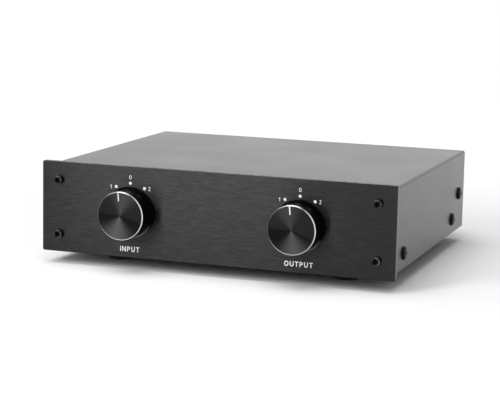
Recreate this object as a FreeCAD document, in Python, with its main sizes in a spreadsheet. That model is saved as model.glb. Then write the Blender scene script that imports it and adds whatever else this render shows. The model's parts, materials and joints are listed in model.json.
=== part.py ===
import FreeCAD, Part
import math
import os
import re

import Sketcher
from FreeCAD import Vector

# Speaker selector switch: a flat metal box with two rotary switches behind a thick
# front panel and sixteen screw terminals on the back.
#
# Millimetres, +Z up, the front faces -Y.  The floor is Z = 0, X = 0 is the middle of the
# width and Y = 0 the middle of the depth from the knob faces to the terminal caps.
# Every formula below counts Y from the front face of the panel; the sub-parts' own
# Placement then moves them by front_y.

# ---------------------------------------------------------------------------
# Driving sizes
# ---------------------------------------------------------------------------
SIZES = [
    # front panel
    ("panel_width", 241.0, "front panel, end to end"),
    ("panel_height", 60.0, "front panel, bottom to top"),
    ("panel_thickness", 4.0, "front panel plate"),
    ("panel_corner", 1.2, "rounding of the panel's four corners"),
    ("panel_edge_break", 0.3, "bevel round the panel's front face"),
    ("panel_overhang", 2.5, "how far the panel stands out past the case all round"),
    # sheet metal case
    ("case_depth", 198.2, "case behind the panel"),
    ("sheet_thickness", 1.5, "all case sheet"),
    ("cover_bend", 2.0, "outer radius of the cover's two long bends"),
    ("sheet_gap", 0.2, "play between neighbouring sheets"),
    ("side_flange_height", 19.0, "side flanges of the chassis"),
    ("tab_depth", 28.0, "side tabs of the rear panel, front to back"),
    ("tab_height", 11.0, "side tabs of the rear panel"),
    ("rear_flange_depth", 14.0, "bottom flange of the rear panel"),
    ("rear_flange_inset", 6.0, "bottom flange, clear of the side flanges"),
    # clearances shared by all fasteners
    ("thread_gap", 0.05, "between a screw and the thread it goes into"),
    ("hole_gap", 0.15, "round a screw in a plain hole"),
    ("nut_gap", 0.1, "free play of a shank that presses into sheet"),
    # screws through the front panel
    ("panel_screw_inset", 12.1, "from the panel's end"),
    ("panel_screw_edge", 12.0, "from the panel's top and bottom edges"),
    ("panel_screw_radius", 1.5, "thread"),
    ("panel_screw_length", 8.0, "under the head"),
    ("panel_screw_head", 2.75, "head radius"),
    ("panel_screw_head_height", 3.0, "head, seated on the panel's face"),
    ("panel_screw_bevel", 0.3, "edge of the head and of the tip"),
    ("panel_screw_socket", 2.5, "hexagon socket across flats"),
    ("panel_screw_socket_depth", 1.4, "hexagon socket"),
    ("clinch_nut_radius", 3.2, "nuts pressed into the chassis wall"),
    ("clinch_nut_shank", 2.35, "their shank"),
    ("clinch_nut_height", 3.0, "behind the wall"),
    # screws in the sides of the cover
    ("cover_screw_radius", 2.0, "thread"),
    ("cover_screw_length", 6.0, "under the head"),
    ("cover_screw_head", 4.4, "head radius"),
    ("cover_screw_head_height", 2.2, "domed head"),
    ("screw_rim", 0.6, "edge of the side, bottom and foot screws' heads"),
    ("cover_screw_socket", 2.5, "hexagon socket across flats"),
    ("cover_screw_socket_depth", 1.4, "hexagon socket"),
    ("front_side_screw_setback", 25.5, "behind the panel"),
    ("rear_side_screw_setback", 36.0, "in front of the case's back"),
    ("side_screw_rise", 10.2, "above the case's underside"),
    ("tab_screw_setback", 16.5, "in front of the case's back"),
    ("tab_screw_rise", 26.1, "above the case's underside"),
    # screws up into the rear panel's flange
    ("rear_screw_radius", 1.5, "thread"),
    ("rear_screw_head", 2.75, "head radius"),
    ("rear_screw_head_height", 1.8, "head"),
    ("rear_screw_length", 5.0, "under the head"),
    ("rear_screw_pitch", 80.0, "three screws in a row"),
    ("rear_screw_setback", 9.0, "in front of the case's back"),
    # feet
    ("foot_radius", 10.0, "top of a foot"),
    ("foot_tip", 9.0, "bottom of a foot"),
    ("foot_bevel", 0.8, "lower edge of a foot"),
    ("foot_height", 10.5, "floor to the case's underside"),
    ("foot_recess_radius", 4.6, "recess for the screw head"),
    ("foot_web", 4.5, "rubber between the screw's head and the case"),
    ("foot_spread", 79.5, "feet each side of the middle"),
    ("front_foot_setback", 32.0, "behind the panel"),
    ("rear_foot_setback", 32.0, "in front of the case's back"),
    ("foot_screw_radius", 2.0, "thread"),
    ("foot_screw_head", 3.8, "head radius"),
    ("foot_screw_head_height", 2.4, "head"),
    ("foot_nut_flats", 7.0, "across flats"),
    ("foot_nut_height", 3.2, "nut"),
    ("thread_show", 0.9, "thread that stands out of a nut"),
    # knobs
    ("knob_spacing", 115.4, "between the two knobs' axes"),
    ("knob_radius", 15.75, "knob"),
    ("knob_length", 16.2, "knob"),
    ("knob_gap", 0.5, "knob to panel"),
    ("knob_bevel", 0.7, "cut edge round the knob's face"),
    ("knob_lip_radius", 16.9, "lip round the knob's rear end"),
    ("knob_lip_thickness", 1.4, "lip"),
    ("knob_rear_bevel", 0.4, "rear edge of the lip"),
    ("knob_face", 2.2, "solid front of the knob, ahead of its bore"),
    ("knob_hollow", 11.0, "radius of the hollow in its back"),
    ("knob_hollow_gap", 4.5, "hollow's end to the bushing"),
    ("pointer_width", 1.0, "groove in the knob's face"),
    ("pointer_inner", 10.2, "inner end of the groove"),
    ("pointer_depth", 0.4, "groove"),
    ("pointer_lean", 6.0, "degrees that the groove stands left of upright at rest"),
    ("set_screw_radius", 1.5, "thread"),
    ("set_screw_length", 8.0, "set screw"),
    ("set_screw_setback", 6.7, "behind the knob's face"),
    ("set_screw_socket", 1.5, "hexagon socket across flats"),
    ("set_screw_socket_depth", 1.5, "hexagon socket"),
    # shafts
    ("shaft_radius", 3.0, "front part of a shaft"),
    ("shaft_gap", 0.05, "running clearance, also in the knob's bore"),
    ("shaft_end_gap", 0.3, "shaft end to the bottom of the knob's bore"),
    ("shaft_flat", 2.0, "axis to the flat under the set screw"),
    ("bar_width", 4.6, "rear part of a shaft, a flat bar"),
    ("bar_thickness", 2.6, "rear part of a shaft"),
    ("bar_gap", 0.04, "bar in the star and the rotors"),
    ("bar_overrun", 2.0, "bar behind the last rotor"),
    # switch frames
    ("bushing_radius", 4.5, "threaded bushing"),
    ("bushing_nut_flats", 14.0, "across flats"),
    ("bushing_nut_height", 2.5, "nut, sunk in the front panel"),
    ("nut_room", 0.4, "round the nut's corners, in the front panel"),
    ("lock_washer_radius", 7.4, "washer"),
    ("lock_washer_thickness", 0.6, "washer"),
    ("cup_radius", 14.5, "detent housing"),
    ("cup_wall", 1.5, "detent housing"),
    ("cup_floor", 2.0, "detent housing"),
    ("cup_depth", 7.5, "detent housing, floor and wall"),
    ("ear_reach", 17.5, "tie bolts from the axis"),
    ("ear_radius", 2.8, "ears round the tie bolts"),
    ("ear_angle", 45.0, "degrees from the right to the first tie bolt"),
    ("stop_inner", 9.2, "inner end of a stop rib"),
    ("stop_width", 10.0, "degrees round the axis"),
    ("stop_height", 3.0, "stop rib above the cup's floor"),
    ("stop_gap", 0.5, "degrees left between the tab and a stop at the end of the travel"),
    # detents
    ("switch_step", 30.0, "degrees between positions"),
    ("star_radius", 7.0, "detent star"),
    ("star_thickness", 2.5, "detent star"),
    ("star_gap", 0.15, "star to the cup's floor, and the spring's nose to the star"),
    ("star_notch", 0.9, "radius of a notch"),
    ("stop_tab_reach", 10.8, "tab that meets the stops"),
    ("stop_tab_width", 16.0, "degrees round the axis"),
    ("spring_rise", 9.0, "ends of the leaf spring above the axis"),
    ("spring_thickness", 0.4, "leaf spring"),
    ("spring_width", 2.1, "leaf spring, front to back"),
    ("spring_nose", 1.2, "half width of the bent nose"),
    # wafers, rotors and contacts
    ("wafer_radius", 14.0, "wafer"),
    ("wafer_thickness", 1.6, "wafer"),
    ("first_spacer", 7.0, "detent housing to the first wafer"),
    ("wafer_spacing", 11.0, "first wafer to the second"),
    ("rotor_radius", 8.0, "rotor"),
    ("rotor_gap", 0.1, "round the rotor"),
    ("rotor_proud", 0.1, "rotor behind the wafer's face"),
    ("blade_inner", 5.2, "inner edge of a rotor blade"),
    ("blade_nose", 10.5, "outer end of a blade's nose"),
    ("blade_nose_width", 2.6, "nose"),
    ("blade_thickness", 0.4, "blade"),
    ("blade_gap", 0.05, "blade to the contact jaws"),
    ("jaw_inner", 8.6, "inner end of a position contact's jaw"),
    ("common_jaw_inner", 6.0, "inner end of a common contact's jaw"),
    ("jaw_thickness", 0.4, "jaw"),
    ("contact_foot", 11.1, "inner edge of a contact's foot on the wafer"),
    ("contact_foot_width", 1.8, "foot"),
    ("contact_width", 2.4, "contact"),
    ("lug_reach", 19.5, "outer end of a lug"),
    ("lug_seat", 17.5, "wire on a lug, from the axis"),
    ("lug_thickness", 0.5, "lug"),
    # tie bolts and spacers
    ("tie_bolt_radius", 1.25, "thread"),
    ("tie_bolt_head", 2.2, "head radius"),
    ("tie_bolt_head_height", 1.8, "head"),
    ("tie_bolt_grip", 4.5, "thread inside the frame's ear"),
    ("spacer_radius", 2.2, "spacer tube"),
    # screw terminals
    ("group_spacing", 56.0, "between neighbouring groups of four terminals"),
    ("pair_spacing", 19.0, "terminals side by side in a group"),
    ("tag_wire_gap", 1.1, "lowest wires to the foot screws below them"),
    ("stud_radius", 3.0, "thread of a terminal"),
    ("stud_reach", 17.7, "stud behind its collar"),
    ("stud_overrun", 2.0, "stud inside, past its nut"),
    ("plug_bore", 2.0, "radius of the plug socket in a stud"),
    ("plug_depth", 13.5, "plug socket"),
    ("wire_hole", 1.5, "radius of the cross hole for bare wire"),
    ("wire_hole_setback", 2.4, "cross hole from the collar"),
    ("collar_radius", 7.0, "coloured collar"),
    ("collar_length", 5.0, "coloured collar"),
    ("collar_bevel", 0.6, "rear edge of the collar"),
    ("spigot_radius", 4.0, "collar's spigot in the rear panel"),
    ("spigot_gap", 0.1, "round the spigot"),
    ("cap_radius", 6.4, "terminal cap"),
    ("cap_length", 20.0, "terminal cap"),
    ("cap_end", 2.0, "end wall of the cap"),
    ("cap_gap", 0.3, "cap to collar when screwed down"),
    ("cap_bevel", 0.7, "both edges of the cap"),
    ("cap_hole_gap", 0.4, "plug hole in the cap's end, wider than the socket"),
    ("flute_radius", 1.1, "grip flutes round the cap"),
    ("flute_offset", 0.5, "flute's axis outside the cap's skin"),
    ("flute_count", 12, "grip flutes"),
    ("insulator_radius", 6.0, "ring inside the rear panel"),
    ("insulator_thickness", 2.5, "ring inside the rear panel"),
    ("tag_radius", 4.8, "solder tag's ring"),
    ("tag_thickness", 0.8, "solder tag"),
    ("tag_width", 4.0, "solder tag's tail"),
    ("tag_reach", 10.5, "solder tag's tail from the stud's axis"),
    ("tag_seat", 8.5, "wire on a tag, from the stud's axis"),
    ("stud_nut_flats", 10.0, "across flats"),
    ("stud_nut_height", 3.0, "nut"),
    # wires
    ("wire_radius", 1.3, "over the insulation"),
    ("fan_start", 44.0, "where the first wire leaves its switch's circle"),
    ("fan_tail", 12.0, "straight end of the last wire, in front of its tag"),
    ("link_gap", 2.2, "links between the switches, to the sheet above or below them"),
    ("link_lead", 5.0, "straight start of a link behind its lug"),
]

# Places worked out from the sizes and from each other.
PLACES = {
    "panel_low": "foot_height - panel_overhang",
    "panel_mid": "panel_low + panel_height / 2",
    "case_high": "panel_low + panel_height - panel_overhang",
    "case_half": "panel_width / 2 - panel_overhang",
    "case_back": "panel_thickness + case_depth",
    "wall_back": "panel_thickness + sheet_thickness",
    "inner_half": "case_half - sheet_thickness - sheet_gap",
    "inner_high": "case_high - sheet_thickness - sheet_gap",
    "floor_top": "foot_height + sheet_thickness",
    "rear_face": "case_back - sheet_thickness",
    "foot_recess": "foot_height - foot_web",
    "foot_screw_tip": "floor_top + foot_nut_height + thread_show",
    "row_rise": "panel_mid - foot_screw_tip - tag_wire_gap - wire_radius - tag_seat",
    "tab_low": "foot_height + tab_screw_rise - tab_height / 2",
    "panel_screw_x": "panel_width / 2 - panel_screw_inset",
    "knob_x": "knob_spacing / 2",
    "knob_reach": "knob_gap + knob_length",
    "cap_back": "case_back + collar_length + cap_gap + cap_length",
    "front_y": "(knob_reach - cap_back) / 2",
    "washer_front": "panel_thickness - lock_washer_thickness",
    "bushing_nut_front": "washer_front - bushing_nut_height",
    "bushing_front": "bushing_nut_front - thread_show",
    "hollow_front": "bushing_front - knob_hollow_gap",
    "bore_front": "knob_face - knob_reach",
    "cup_back": "wall_back + cup_depth",
    "bar_front": "wall_back + cup_floor + shaft_gap",
    "star_front": "wall_back + cup_floor + star_gap",
    "wafer_front": "cup_back + first_spacer",
    "last_wafer_back": "wafer_front + wafer_spacing + wafer_thickness",
    "last_rotor_back": "last_wafer_back + rotor_proud",
    "blade_front": "wafer_thickness + rotor_proud",
    "jaw_front": "blade_front + blade_thickness + blade_gap",
    "collar_back": "case_back + collar_length",
    "tag_front": "rear_face - insulator_thickness - tag_thickness",
    "stud_nut_front": "tag_front - stud_nut_height",
    "fan_end": "tag_front - fan_tail",
    "link_low": "floor_top + link_gap + wire_radius",
    "link_high": "case_high - sheet_thickness - link_gap - wire_radius",
}

NAMES = {name for name, _value, _note in SIZES}
NORMAL = {"XY": 1, "XZ": -1, "YZ": 1}   # which way each origin plane faces along its axis
SAME = 1e-6                             # millimetres between places that count as one

doc = FreeCAD.newDocument("speaker_selector_switch")
sub_parts = []


def formula(text):
    """Write a formula out in terms of the sheet's cells."""
    def cell(word):
        name = word.group()
        if name in PLACES:
            return "(" + formula(PLACES[name]) + ")"
        return "dims." + name if name in NAMES else name
    return re.sub("[a-z_]+", cell, text)


def fill_sheet():
    sheet = doc.addObject("Spreadsheet::Sheet", "dims")
    for row, (name, value, note) in enumerate(SIZES, start=1):
        sheet.set("A%d" % row, name)
        sheet.set("B%d" % row, str(value))
        sheet.setAlias("B%d" % row, name)
        sheet.set("C%d" % row, note)
    doc.recompute()
    return sheet


dims = fill_sheet()


def number(text):
    """What a formula comes to now."""
    return float(dims.evalExpression(formula(text)))


def bind(thing, path, text):
    thing.setExpression(path, formula(text))


# ---------------------------------------------------------------------------
# Sketches and bodies
# ---------------------------------------------------------------------------
def pin_point(sketch, geometry, vertex, corner):
    """Tie one point of a sketch to a pair of formulas."""
    for kind, text in zip(("DistanceX", "DistanceY"), corner):
        index = sketch.addConstraint(Sketcher.Constraint(kind, -1, 1, geometry, vertex, number(text)))
        bind(sketch, "Constraints[%d]" % index, text)


def polygon(sketch, corners):
    """Closed outline with each corner tied to its own two formulas."""
    first = sketch.GeometryCount
    spots = [Vector(number(across), number(up), 0) for across, up in corners]
    for start, end in zip(spots, spots[1:] + spots[:1]):
        sketch.addGeometry(Part.LineSegment(start, end))
    for index in range(len(corners)):
        following = first + (index + 1) % len(corners)
        sketch.addConstraint(Sketcher.Constraint("Coincident", first + index, 2, following, 1))
    for index, corner in enumerate(corners):
        pin_point(sketch, first + index, 1, corner)


def rectangle(sketch, left, low, right, high):
    polygon(sketch, [(left, low), (right, low), (right, high), (left, high)])


def circle(sketch, radius, across="0", up="0"):
    centre = Vector(number(across), number(up), 0)
    index = sketch.addGeometry(Part.Circle(centre, Vector(0, 0, 1), number(radius)))
    pin_point(sketch, index, 3, (across, up))
    size = sketch.addConstraint(Sketcher.Constraint("Radius", index, number(radius)))
    bind(sketch, "Constraints[%d]" % size, radius)


def polar(radius, angle, up="0"):
    """A corner given by its radius and its angle in degrees from the right."""
    return "(%s) * cos(%s)" % (radius, angle), "%s + (%s) * sin(%s)" % (up, radius, angle)


def hexagon(sketch, flats, up="0"):
    """Hexagon with a corner to each side, its centre on the sketch's upright axis."""
    polygon(sketch, [polar("%s / sqrt(3)" % flats, str(angle), up) for angle in range(0, 360, 60)])


class Piece:
    """One body made from sketches, with every size bound to a formula."""

    def __init__(self, name):
        self.body = doc.addObject("PartDesign::Body", name)
        self.body.Label = name

    def origin(self, role):
        return next(thing for thing in self.body.Origin.OriginFeatures if thing.Role == role)

    def sketch(self, plane, level="0"):
        """Sketch on an origin plane, moved along that plane's axis to level."""
        sketch = self.body.newObject("Sketcher::SketchObject", self.body.Name + "_sketch")
        sketch.AttachmentSupport = (self.origin(plane + "_Plane"), [""])
        sketch.MapMode = "FlatFace"
        bind(sketch, "AttachmentOffset.Base.z", "%d * (%s)" % (NORMAL[plane], level))
        sketch.Label = self.body.Name + "_" + plane + "_sketch"
        return sketch

    def facing(self, sketch):
        plane = sketch.AttachmentSupport[0][0].Role[:2]
        return NORMAL[plane]

    def feature(self, kind, sketch):
        feature = self.body.newObject("PartDesign::" + kind, self.body.Name + "_" + kind.lower())
        feature.Profile = sketch
        sketch.Visibility = False
        return feature

    def pad(self, sketch, length, towards=1, middle=False):
        """Grow material from the sketch along its axis: towards is +1 or -1."""
        pad = self.feature("Pad", sketch)
        bind(pad, "Length", length)
        pad.Reversed = self.facing(sketch) * towards < 0
        pad.Midplane = middle
        doc.recompute()
        return pad

    def cut(self, sketch, depth=None, towards=1):
        """Take material away along the sketch's axis, or right through both ways."""
        before = self.body.Shape.Volume
        pocket = self.feature("Pocket", sketch)
        if depth is None:
            pocket.Type = "ThroughAll"
            pocket.Midplane = True
        else:
            bind(pocket, "Length", depth)
            pocket.Reversed = self.facing(sketch) * towards > 0
        doc.recompute()
        if not self.body.Shape.Volume < before - SAME:
            raise RuntimeError(pocket.Name + " takes nothing away")
        return pocket

    def turn(self, corners, plane="XY"):
        """Turned shape: corners are radius and height along the axis.

        The XY plane gives a piece turned about Y and the XZ plane one turned about Z.
        """
        sketch = self.sketch(plane)
        polygon(sketch, corners)
        turned = self.feature("Revolution", sketch)
        turned.ReferenceAxis = (sketch, ["V_Axis"])
        turned.Angle = 360
        doc.recompute()
        return turned

    def dress(self, kind, base, size, chosen):
        """Fillet or chamfer the edges of base that chosen picks."""
        names = ["Edge%d" % (index + 1) for index, edge in enumerate(base.Shape.Edges) if chosen(edge)]
        dressing = self.body.newObject("PartDesign::" + kind, self.body.Name + "_" + kind.lower())
        dressing.Base = (base, names)
        bind(dressing, "Radius" if kind == "Fillet" else "Size", size)
        doc.recompute()
        return dressing

    def round_pattern(self, feature, count):
        """Repeat a feature evenly about the Y axis."""
        pattern = self.body.newObject("PartDesign::PolarPattern", self.body.Name + "_pattern")
        pattern.Originals = [feature]
        pattern.Axis = (self.origin("Y_Axis"), [""])
        pattern.Angle = 360
        bind(pattern, "Occurrences", count)
        self.body.Tip = pattern
        doc.recompute()


def along_y(edge):
    return edge.Curve.TypeId == "Part::GeomLine" and abs(edge.tangentAt(edge.FirstParameter).y) > 0.999


def at_y(level):
    """Chooser of the edges that lie in one plane across Y."""
    return lambda edge: all(abs(vertex.Point.y - level) < SAME for vertex in edge.Vertexes)


# ---------------------------------------------------------------------------
# Sub-parts
# ---------------------------------------------------------------------------
def keep(thing, label):
    """Make a body or a group a sub-part: its label names its file."""
    thing.Label = label
    bind(thing, "Placement.Base.y", "front_y")
    sub_parts.append(thing)


def group(label, copies):
    """A sub-part of copies of finished bodies.

    Each copy is a body, its x, y and z, and a turn: an axis and its degrees, or None.
    """
    links = []
    for body, (x, y, z), turn in copies:
        link = doc.addObject("App::Link", label + "_copy")
        link.LinkedObject = body
        axis, degrees = turn or (Z_AXIS, "0")
        bind(link, "Placement", "placement(vector(%s; %s; %s); rotation(vector(%d; %d; %d); %s))"
             % (x, y, z, axis.x, axis.y, axis.z, degrees))
        links.append(link)
    compound = doc.addObject("Part::Compound", label)
    compound.Links = links
    keep(compound, label)


Y_AXIS = Vector(0, 1, 0)
Z_AXIS = Vector(0, 0, 1)
SWITCHES = [("amplifier", "-knob_x"), ("speaker", "knob_x")]

# The sixteen terminals, named from the switch and the device that they serve.  Seen from
# the front, device 1 of each switch is on its left.  The upper row is red.
GROUPS = [
    ("amplifier_1", "-group_spacing * 1.5"),
    ("amplifier_2", "-group_spacing / 2"),
    ("speaker_1", "group_spacing / 2"),
    ("speaker_2", "group_spacing * 1.5"),
]
CHANNELS = [("left", "-pair_spacing / 2"), ("right", "pair_spacing / 2")]
ROWS = [("red", "row_rise"), ("black", "-row_rise")]


def terminals(colour=None):
    """Name, colour, x and z of each terminal."""
    for group_name, group_x in GROUPS:
        for channel, channel_x in CHANNELS:
            for row, row_z in ROWS:
                if colour in (None, row):
                    name = "%s_%s_%s" % (group_name, channel, row)
                    yield name, row, "%s + %s" % (group_x, channel_x), "panel_mid + %s" % row_z


# ---- casing ---------------------------------------------------------------
def panel_screw_spots():
    for side in ("-", ""):
        for edge in ("panel_screw_edge", "panel_height - panel_screw_edge"):
            yield side + "panel_screw_x", "panel_low + " + edge


def front_panel():
    """Thick plate with rounded corners and a round opening for each bushing nut."""
    piece = Piece("front_panel")
    outline = piece.sketch("XZ")
    rectangle(outline, "-panel_width / 2", "panel_low", "panel_width / 2", "panel_low + panel_height")
    plate = piece.pad(outline, "panel_thickness")
    rounded = piece.dress("Fillet", plate, "panel_corner", along_y)
    piece.dress("Chamfer", rounded, "panel_edge_break", at_y(0))
    holes = piece.sketch("XZ")
    for x, z in panel_screw_spots():
        circle(holes, "panel_screw_radius + hole_gap", x, z)
    for _name, x in SWITCHES:
        circle(holes, "bushing_nut_flats / sqrt(3) + nut_room", x, "panel_mid")
    piece.cut(holes)
    keep(piece.body, "front_panel")


def front_panel_fasteners():
    """Socket head screws and the nuts pressed into the chassis wall behind the panel."""
    screw = Piece("panel_screw")
    screw.turn([
        ("0", "-panel_screw_head_height"),
        ("panel_screw_head - panel_screw_bevel", "-panel_screw_head_height"),
        ("panel_screw_head", "panel_screw_bevel - panel_screw_head_height"),
        ("panel_screw_head", "0"),
        ("panel_screw_radius", "0"),
        ("panel_screw_radius", "panel_screw_length - panel_screw_bevel"),
        ("panel_screw_radius - panel_screw_bevel", "panel_screw_length"),
        ("0", "panel_screw_length"),
    ])
    socket = screw.sketch("XZ", "-panel_screw_head_height")
    hexagon(socket, "panel_screw_socket")
    screw.cut(socket, "panel_screw_socket_depth")

    nut = Piece("clinch_nut")
    nut.turn([
        ("panel_screw_radius + thread_gap", "panel_thickness + nut_gap"),
        ("clinch_nut_shank", "panel_thickness + nut_gap"),
        ("clinch_nut_shank", "wall_back"),
        ("clinch_nut_radius", "wall_back"),
        ("clinch_nut_radius", "wall_back + clinch_nut_height"),
        ("panel_screw_radius + thread_gap", "wall_back + clinch_nut_height"),
    ])
    spots = list(panel_screw_spots())
    group("front_panel_screws", [(screw.body, (x, "0", z), None) for x, z in spots])
    group("panel_clinch_nuts", [(nut.body, (x, "0", z), None) for x, z in spots])


def foot_spots():
    for side in ("-", ""):
        for y in ("panel_thickness + front_foot_setback", "case_back - rear_foot_setback"):
            yield side + "foot_spread", y


def side_screw_spots():
    """y and z of the three screws in each side of the case."""
    yield "panel_thickness + front_side_screw_setback", "foot_height + side_screw_rise"
    yield "case_back - rear_side_screw_setback", "foot_height + side_screw_rise"
    yield "case_back - tab_screw_setback", "foot_height + tab_screw_rise"


def rear_screw_spots():
    for step in (-1, 0, 1):
        yield "%d * rear_screw_pitch" % step, "case_back - rear_screw_setback"


def chassis():
    """Folded tray: floor, front wall that carries the panel and switches, side flanges."""
    piece = Piece("chassis")
    floor = piece.sketch("XY", "foot_height")
    rectangle(floor, "-inner_half", "panel_thickness", "inner_half", "rear_face - sheet_gap")
    piece.pad(floor, "sheet_thickness")
    wall = piece.sketch("XZ", "panel_thickness")
    rectangle(wall, "-inner_half", "foot_height", "inner_half", "inner_high")
    piece.pad(wall, "sheet_thickness")
    for side in (-1, 1):
        flange = piece.sketch("YZ", "%d * inner_half" % side)
        rectangle(flange, "wall_back + sheet_thickness", "foot_height",
                  "rear_face - sheet_gap", "foot_height + side_flange_height")
        piece.pad(flange, "sheet_thickness", towards=-side)
    wall_holes = piece.sketch("XZ", "panel_thickness")
    for x, z in panel_screw_spots():
        circle(wall_holes, "clinch_nut_shank + thread_gap", x, z)
    for _name, x in SWITCHES:
        circle(wall_holes, "bushing_radius + hole_gap", x, "panel_mid")
    piece.cut(wall_holes)
    floor_holes = piece.sketch("XY", "foot_height")
    for x, y in foot_spots():
        circle(floor_holes, "foot_screw_radius + hole_gap", x, y)
    for x, y in rear_screw_spots():
        circle(floor_holes, "rear_screw_radius + hole_gap", x, y)
    piece.cut(floor_holes, "sheet_thickness")
    side_holes = piece.sketch("YZ")
    for y, z in list(side_screw_spots())[:2]:
        circle(side_holes, "cover_screw_radius + thread_gap", y, z)
    piece.cut(side_holes)
    keep(piece.body, "chassis")


def rear_panel():
    """Back plate with sixteen terminal holes, two side tabs and a flange on the floor."""
    piece = Piece("rear_panel")
    plate = piece.sketch("XZ", "rear_face")
    rectangle(plate, "-inner_half", "foot_height", "inner_half", "inner_high")
    piece.pad(plate, "sheet_thickness")
    for side in (-1, 1):
        tab = piece.sketch("YZ", "%d * inner_half" % side)
        rectangle(tab, "case_back - tab_depth", "tab_low", "rear_face", "tab_low + tab_height")
        piece.pad(tab, "sheet_thickness", towards=-side)
    flange = piece.sketch("XY", "floor_top")
    rectangle(flange, "rear_flange_inset - inner_half", "case_back - rear_flange_depth",
              "inner_half - rear_flange_inset", "rear_face")
    piece.pad(flange, "sheet_thickness")
    terminal_holes = piece.sketch("XZ", "rear_face")
    for _name, _row, x, z in terminals():
        circle(terminal_holes, "spigot_radius + spigot_gap", x, z)
    piece.cut(terminal_holes, "sheet_thickness")
    tab_holes = piece.sketch("YZ")
    y, z = list(side_screw_spots())[2]
    circle(tab_holes, "cover_screw_radius + thread_gap", y, z)
    piece.cut(tab_holes)
    flange_holes = piece.sketch("XY", "floor_top")
    for x, y in rear_screw_spots():
        circle(flange_holes, "rear_screw_radius + thread_gap", x, y)
    piece.cut(flange_holes, "sheet_thickness")
    keep(piece.body, "rear_panel")


def rear_panel_screws():
    screw = Piece("rear_screw")
    screw.turn([
        ("0", "foot_height - rear_screw_head_height"),
        ("rear_screw_head - screw_rim", "foot_height - rear_screw_head_height"),
        ("rear_screw_head", "foot_height - screw_rim"),
        ("rear_screw_head", "foot_height"),
        ("rear_screw_radius", "foot_height"),
        ("rear_screw_radius", "foot_height + rear_screw_length"),
        ("0", "foot_height + rear_screw_length"),
    ], plane="XZ")
    group("rear_panel_screws", [(screw.body, (x, y, "0"), None) for x, y in rear_screw_spots()])


def top_cover():
    """One sheet bent over the chassis: the top and both sides."""
    piece = Piece("top_cover")
    section = piece.sketch("XZ", "panel_thickness + sheet_gap")
    inside = "case_half - sheet_thickness"
    polygon(section, [
        ("-case_half", "foot_height"), ("-case_half", "case_high"),
        ("case_half", "case_high"), ("case_half", "foot_height"),
        (inside, "foot_height"), (inside, "case_high - sheet_thickness"),
        ("-(%s)" % inside, "case_high - sheet_thickness"), ("-(%s)" % inside, "foot_height"),
    ])
    blank = piece.pad(section, "case_depth - sheet_gap")
    outer, inner = number("case_high"), number("case_high - sheet_thickness")
    bent = piece.dress("Fillet", blank, "cover_bend",
                       lambda edge: along_y(edge) and abs(edge.Vertexes[0].Point.z - outer) < SAME)
    piece.dress("Fillet", bent, "cover_bend - sheet_thickness",
                lambda edge: along_y(edge) and abs(edge.Vertexes[0].Point.z - inner) < SAME
                and abs(edge.Vertexes[0].Point.x) < number("case_half") - number("sheet_thickness") / 2)
    holes = piece.sketch("YZ")
    for y, z in side_screw_spots():
        circle(holes, "cover_screw_radius + hole_gap", y, z)
    piece.cut(holes)
    keep(piece.body, "top_cover")


def cover_screws():
    """Domed screws, their heads outwards, three in each side."""
    screw = Piece("cover_screw")
    dome = [("cover_screw_head * sin(%d)" % tilt,
             "-screw_rim - (cover_screw_head_height - screw_rim) * cos(%d)" % tilt)
            for tilt in range(0, 91, 15)]
    screw.turn(dome + [
        ("cover_screw_head", "0"), ("cover_screw_radius", "0"),
        ("cover_screw_radius", "cover_screw_length"), ("0", "cover_screw_length"),
    ])
    socket = screw.sketch("XZ", "-cover_screw_head_height")
    hexagon(socket, "cover_screw_socket")
    screw.cut(socket, "cover_screw_socket_depth")
    copies = []
    for side, degrees in (("-", "-90"), ("", "90")):
        for y, z in side_screw_spots():
            copies.append((screw.body, (side + "case_half", y, z), (Z_AXIS, degrees)))
    group("cover_screws", copies)


def feet():
    """Rubber feet, each with a screw in its recess and a nut on the chassis floor."""
    foot = Piece("foot")
    hole = "foot_screw_radius + hole_gap"
    foot.turn([
        (hole, "foot_recess"), ("foot_recess_radius", "foot_recess"),
        ("foot_recess_radius", "0"), ("foot_tip - foot_bevel", "0"),
        ("foot_tip", "foot_bevel"), ("foot_radius", "foot_height"), (hole, "foot_height"),
    ], plane="XZ")
    screw = Piece("foot_screw")
    screw.turn([
        ("0", "foot_recess - foot_screw_head_height"),
        ("foot_screw_head - screw_rim", "foot_recess - foot_screw_head_height"),
        ("foot_screw_head", "foot_recess - screw_rim"),
        ("foot_screw_head", "foot_recess"),
        ("foot_screw_radius", "foot_recess"),
        ("foot_screw_radius", "foot_screw_tip"), ("0", "foot_screw_tip"),
    ], plane="XZ")
    nut = Piece("foot_nut")
    outline = nut.sketch("XY", "floor_top")
    hexagon(outline, "foot_nut_flats")
    circle(outline, "foot_screw_radius + thread_gap")
    nut.pad(outline, "foot_nut_height")
    for piece, label in ((foot, "feet"), (screw, "foot_screws"), (nut, "foot_nuts")):
        group(label, [(piece.body, (x, y, "0"), None) for x, y in foot_spots()])


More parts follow.
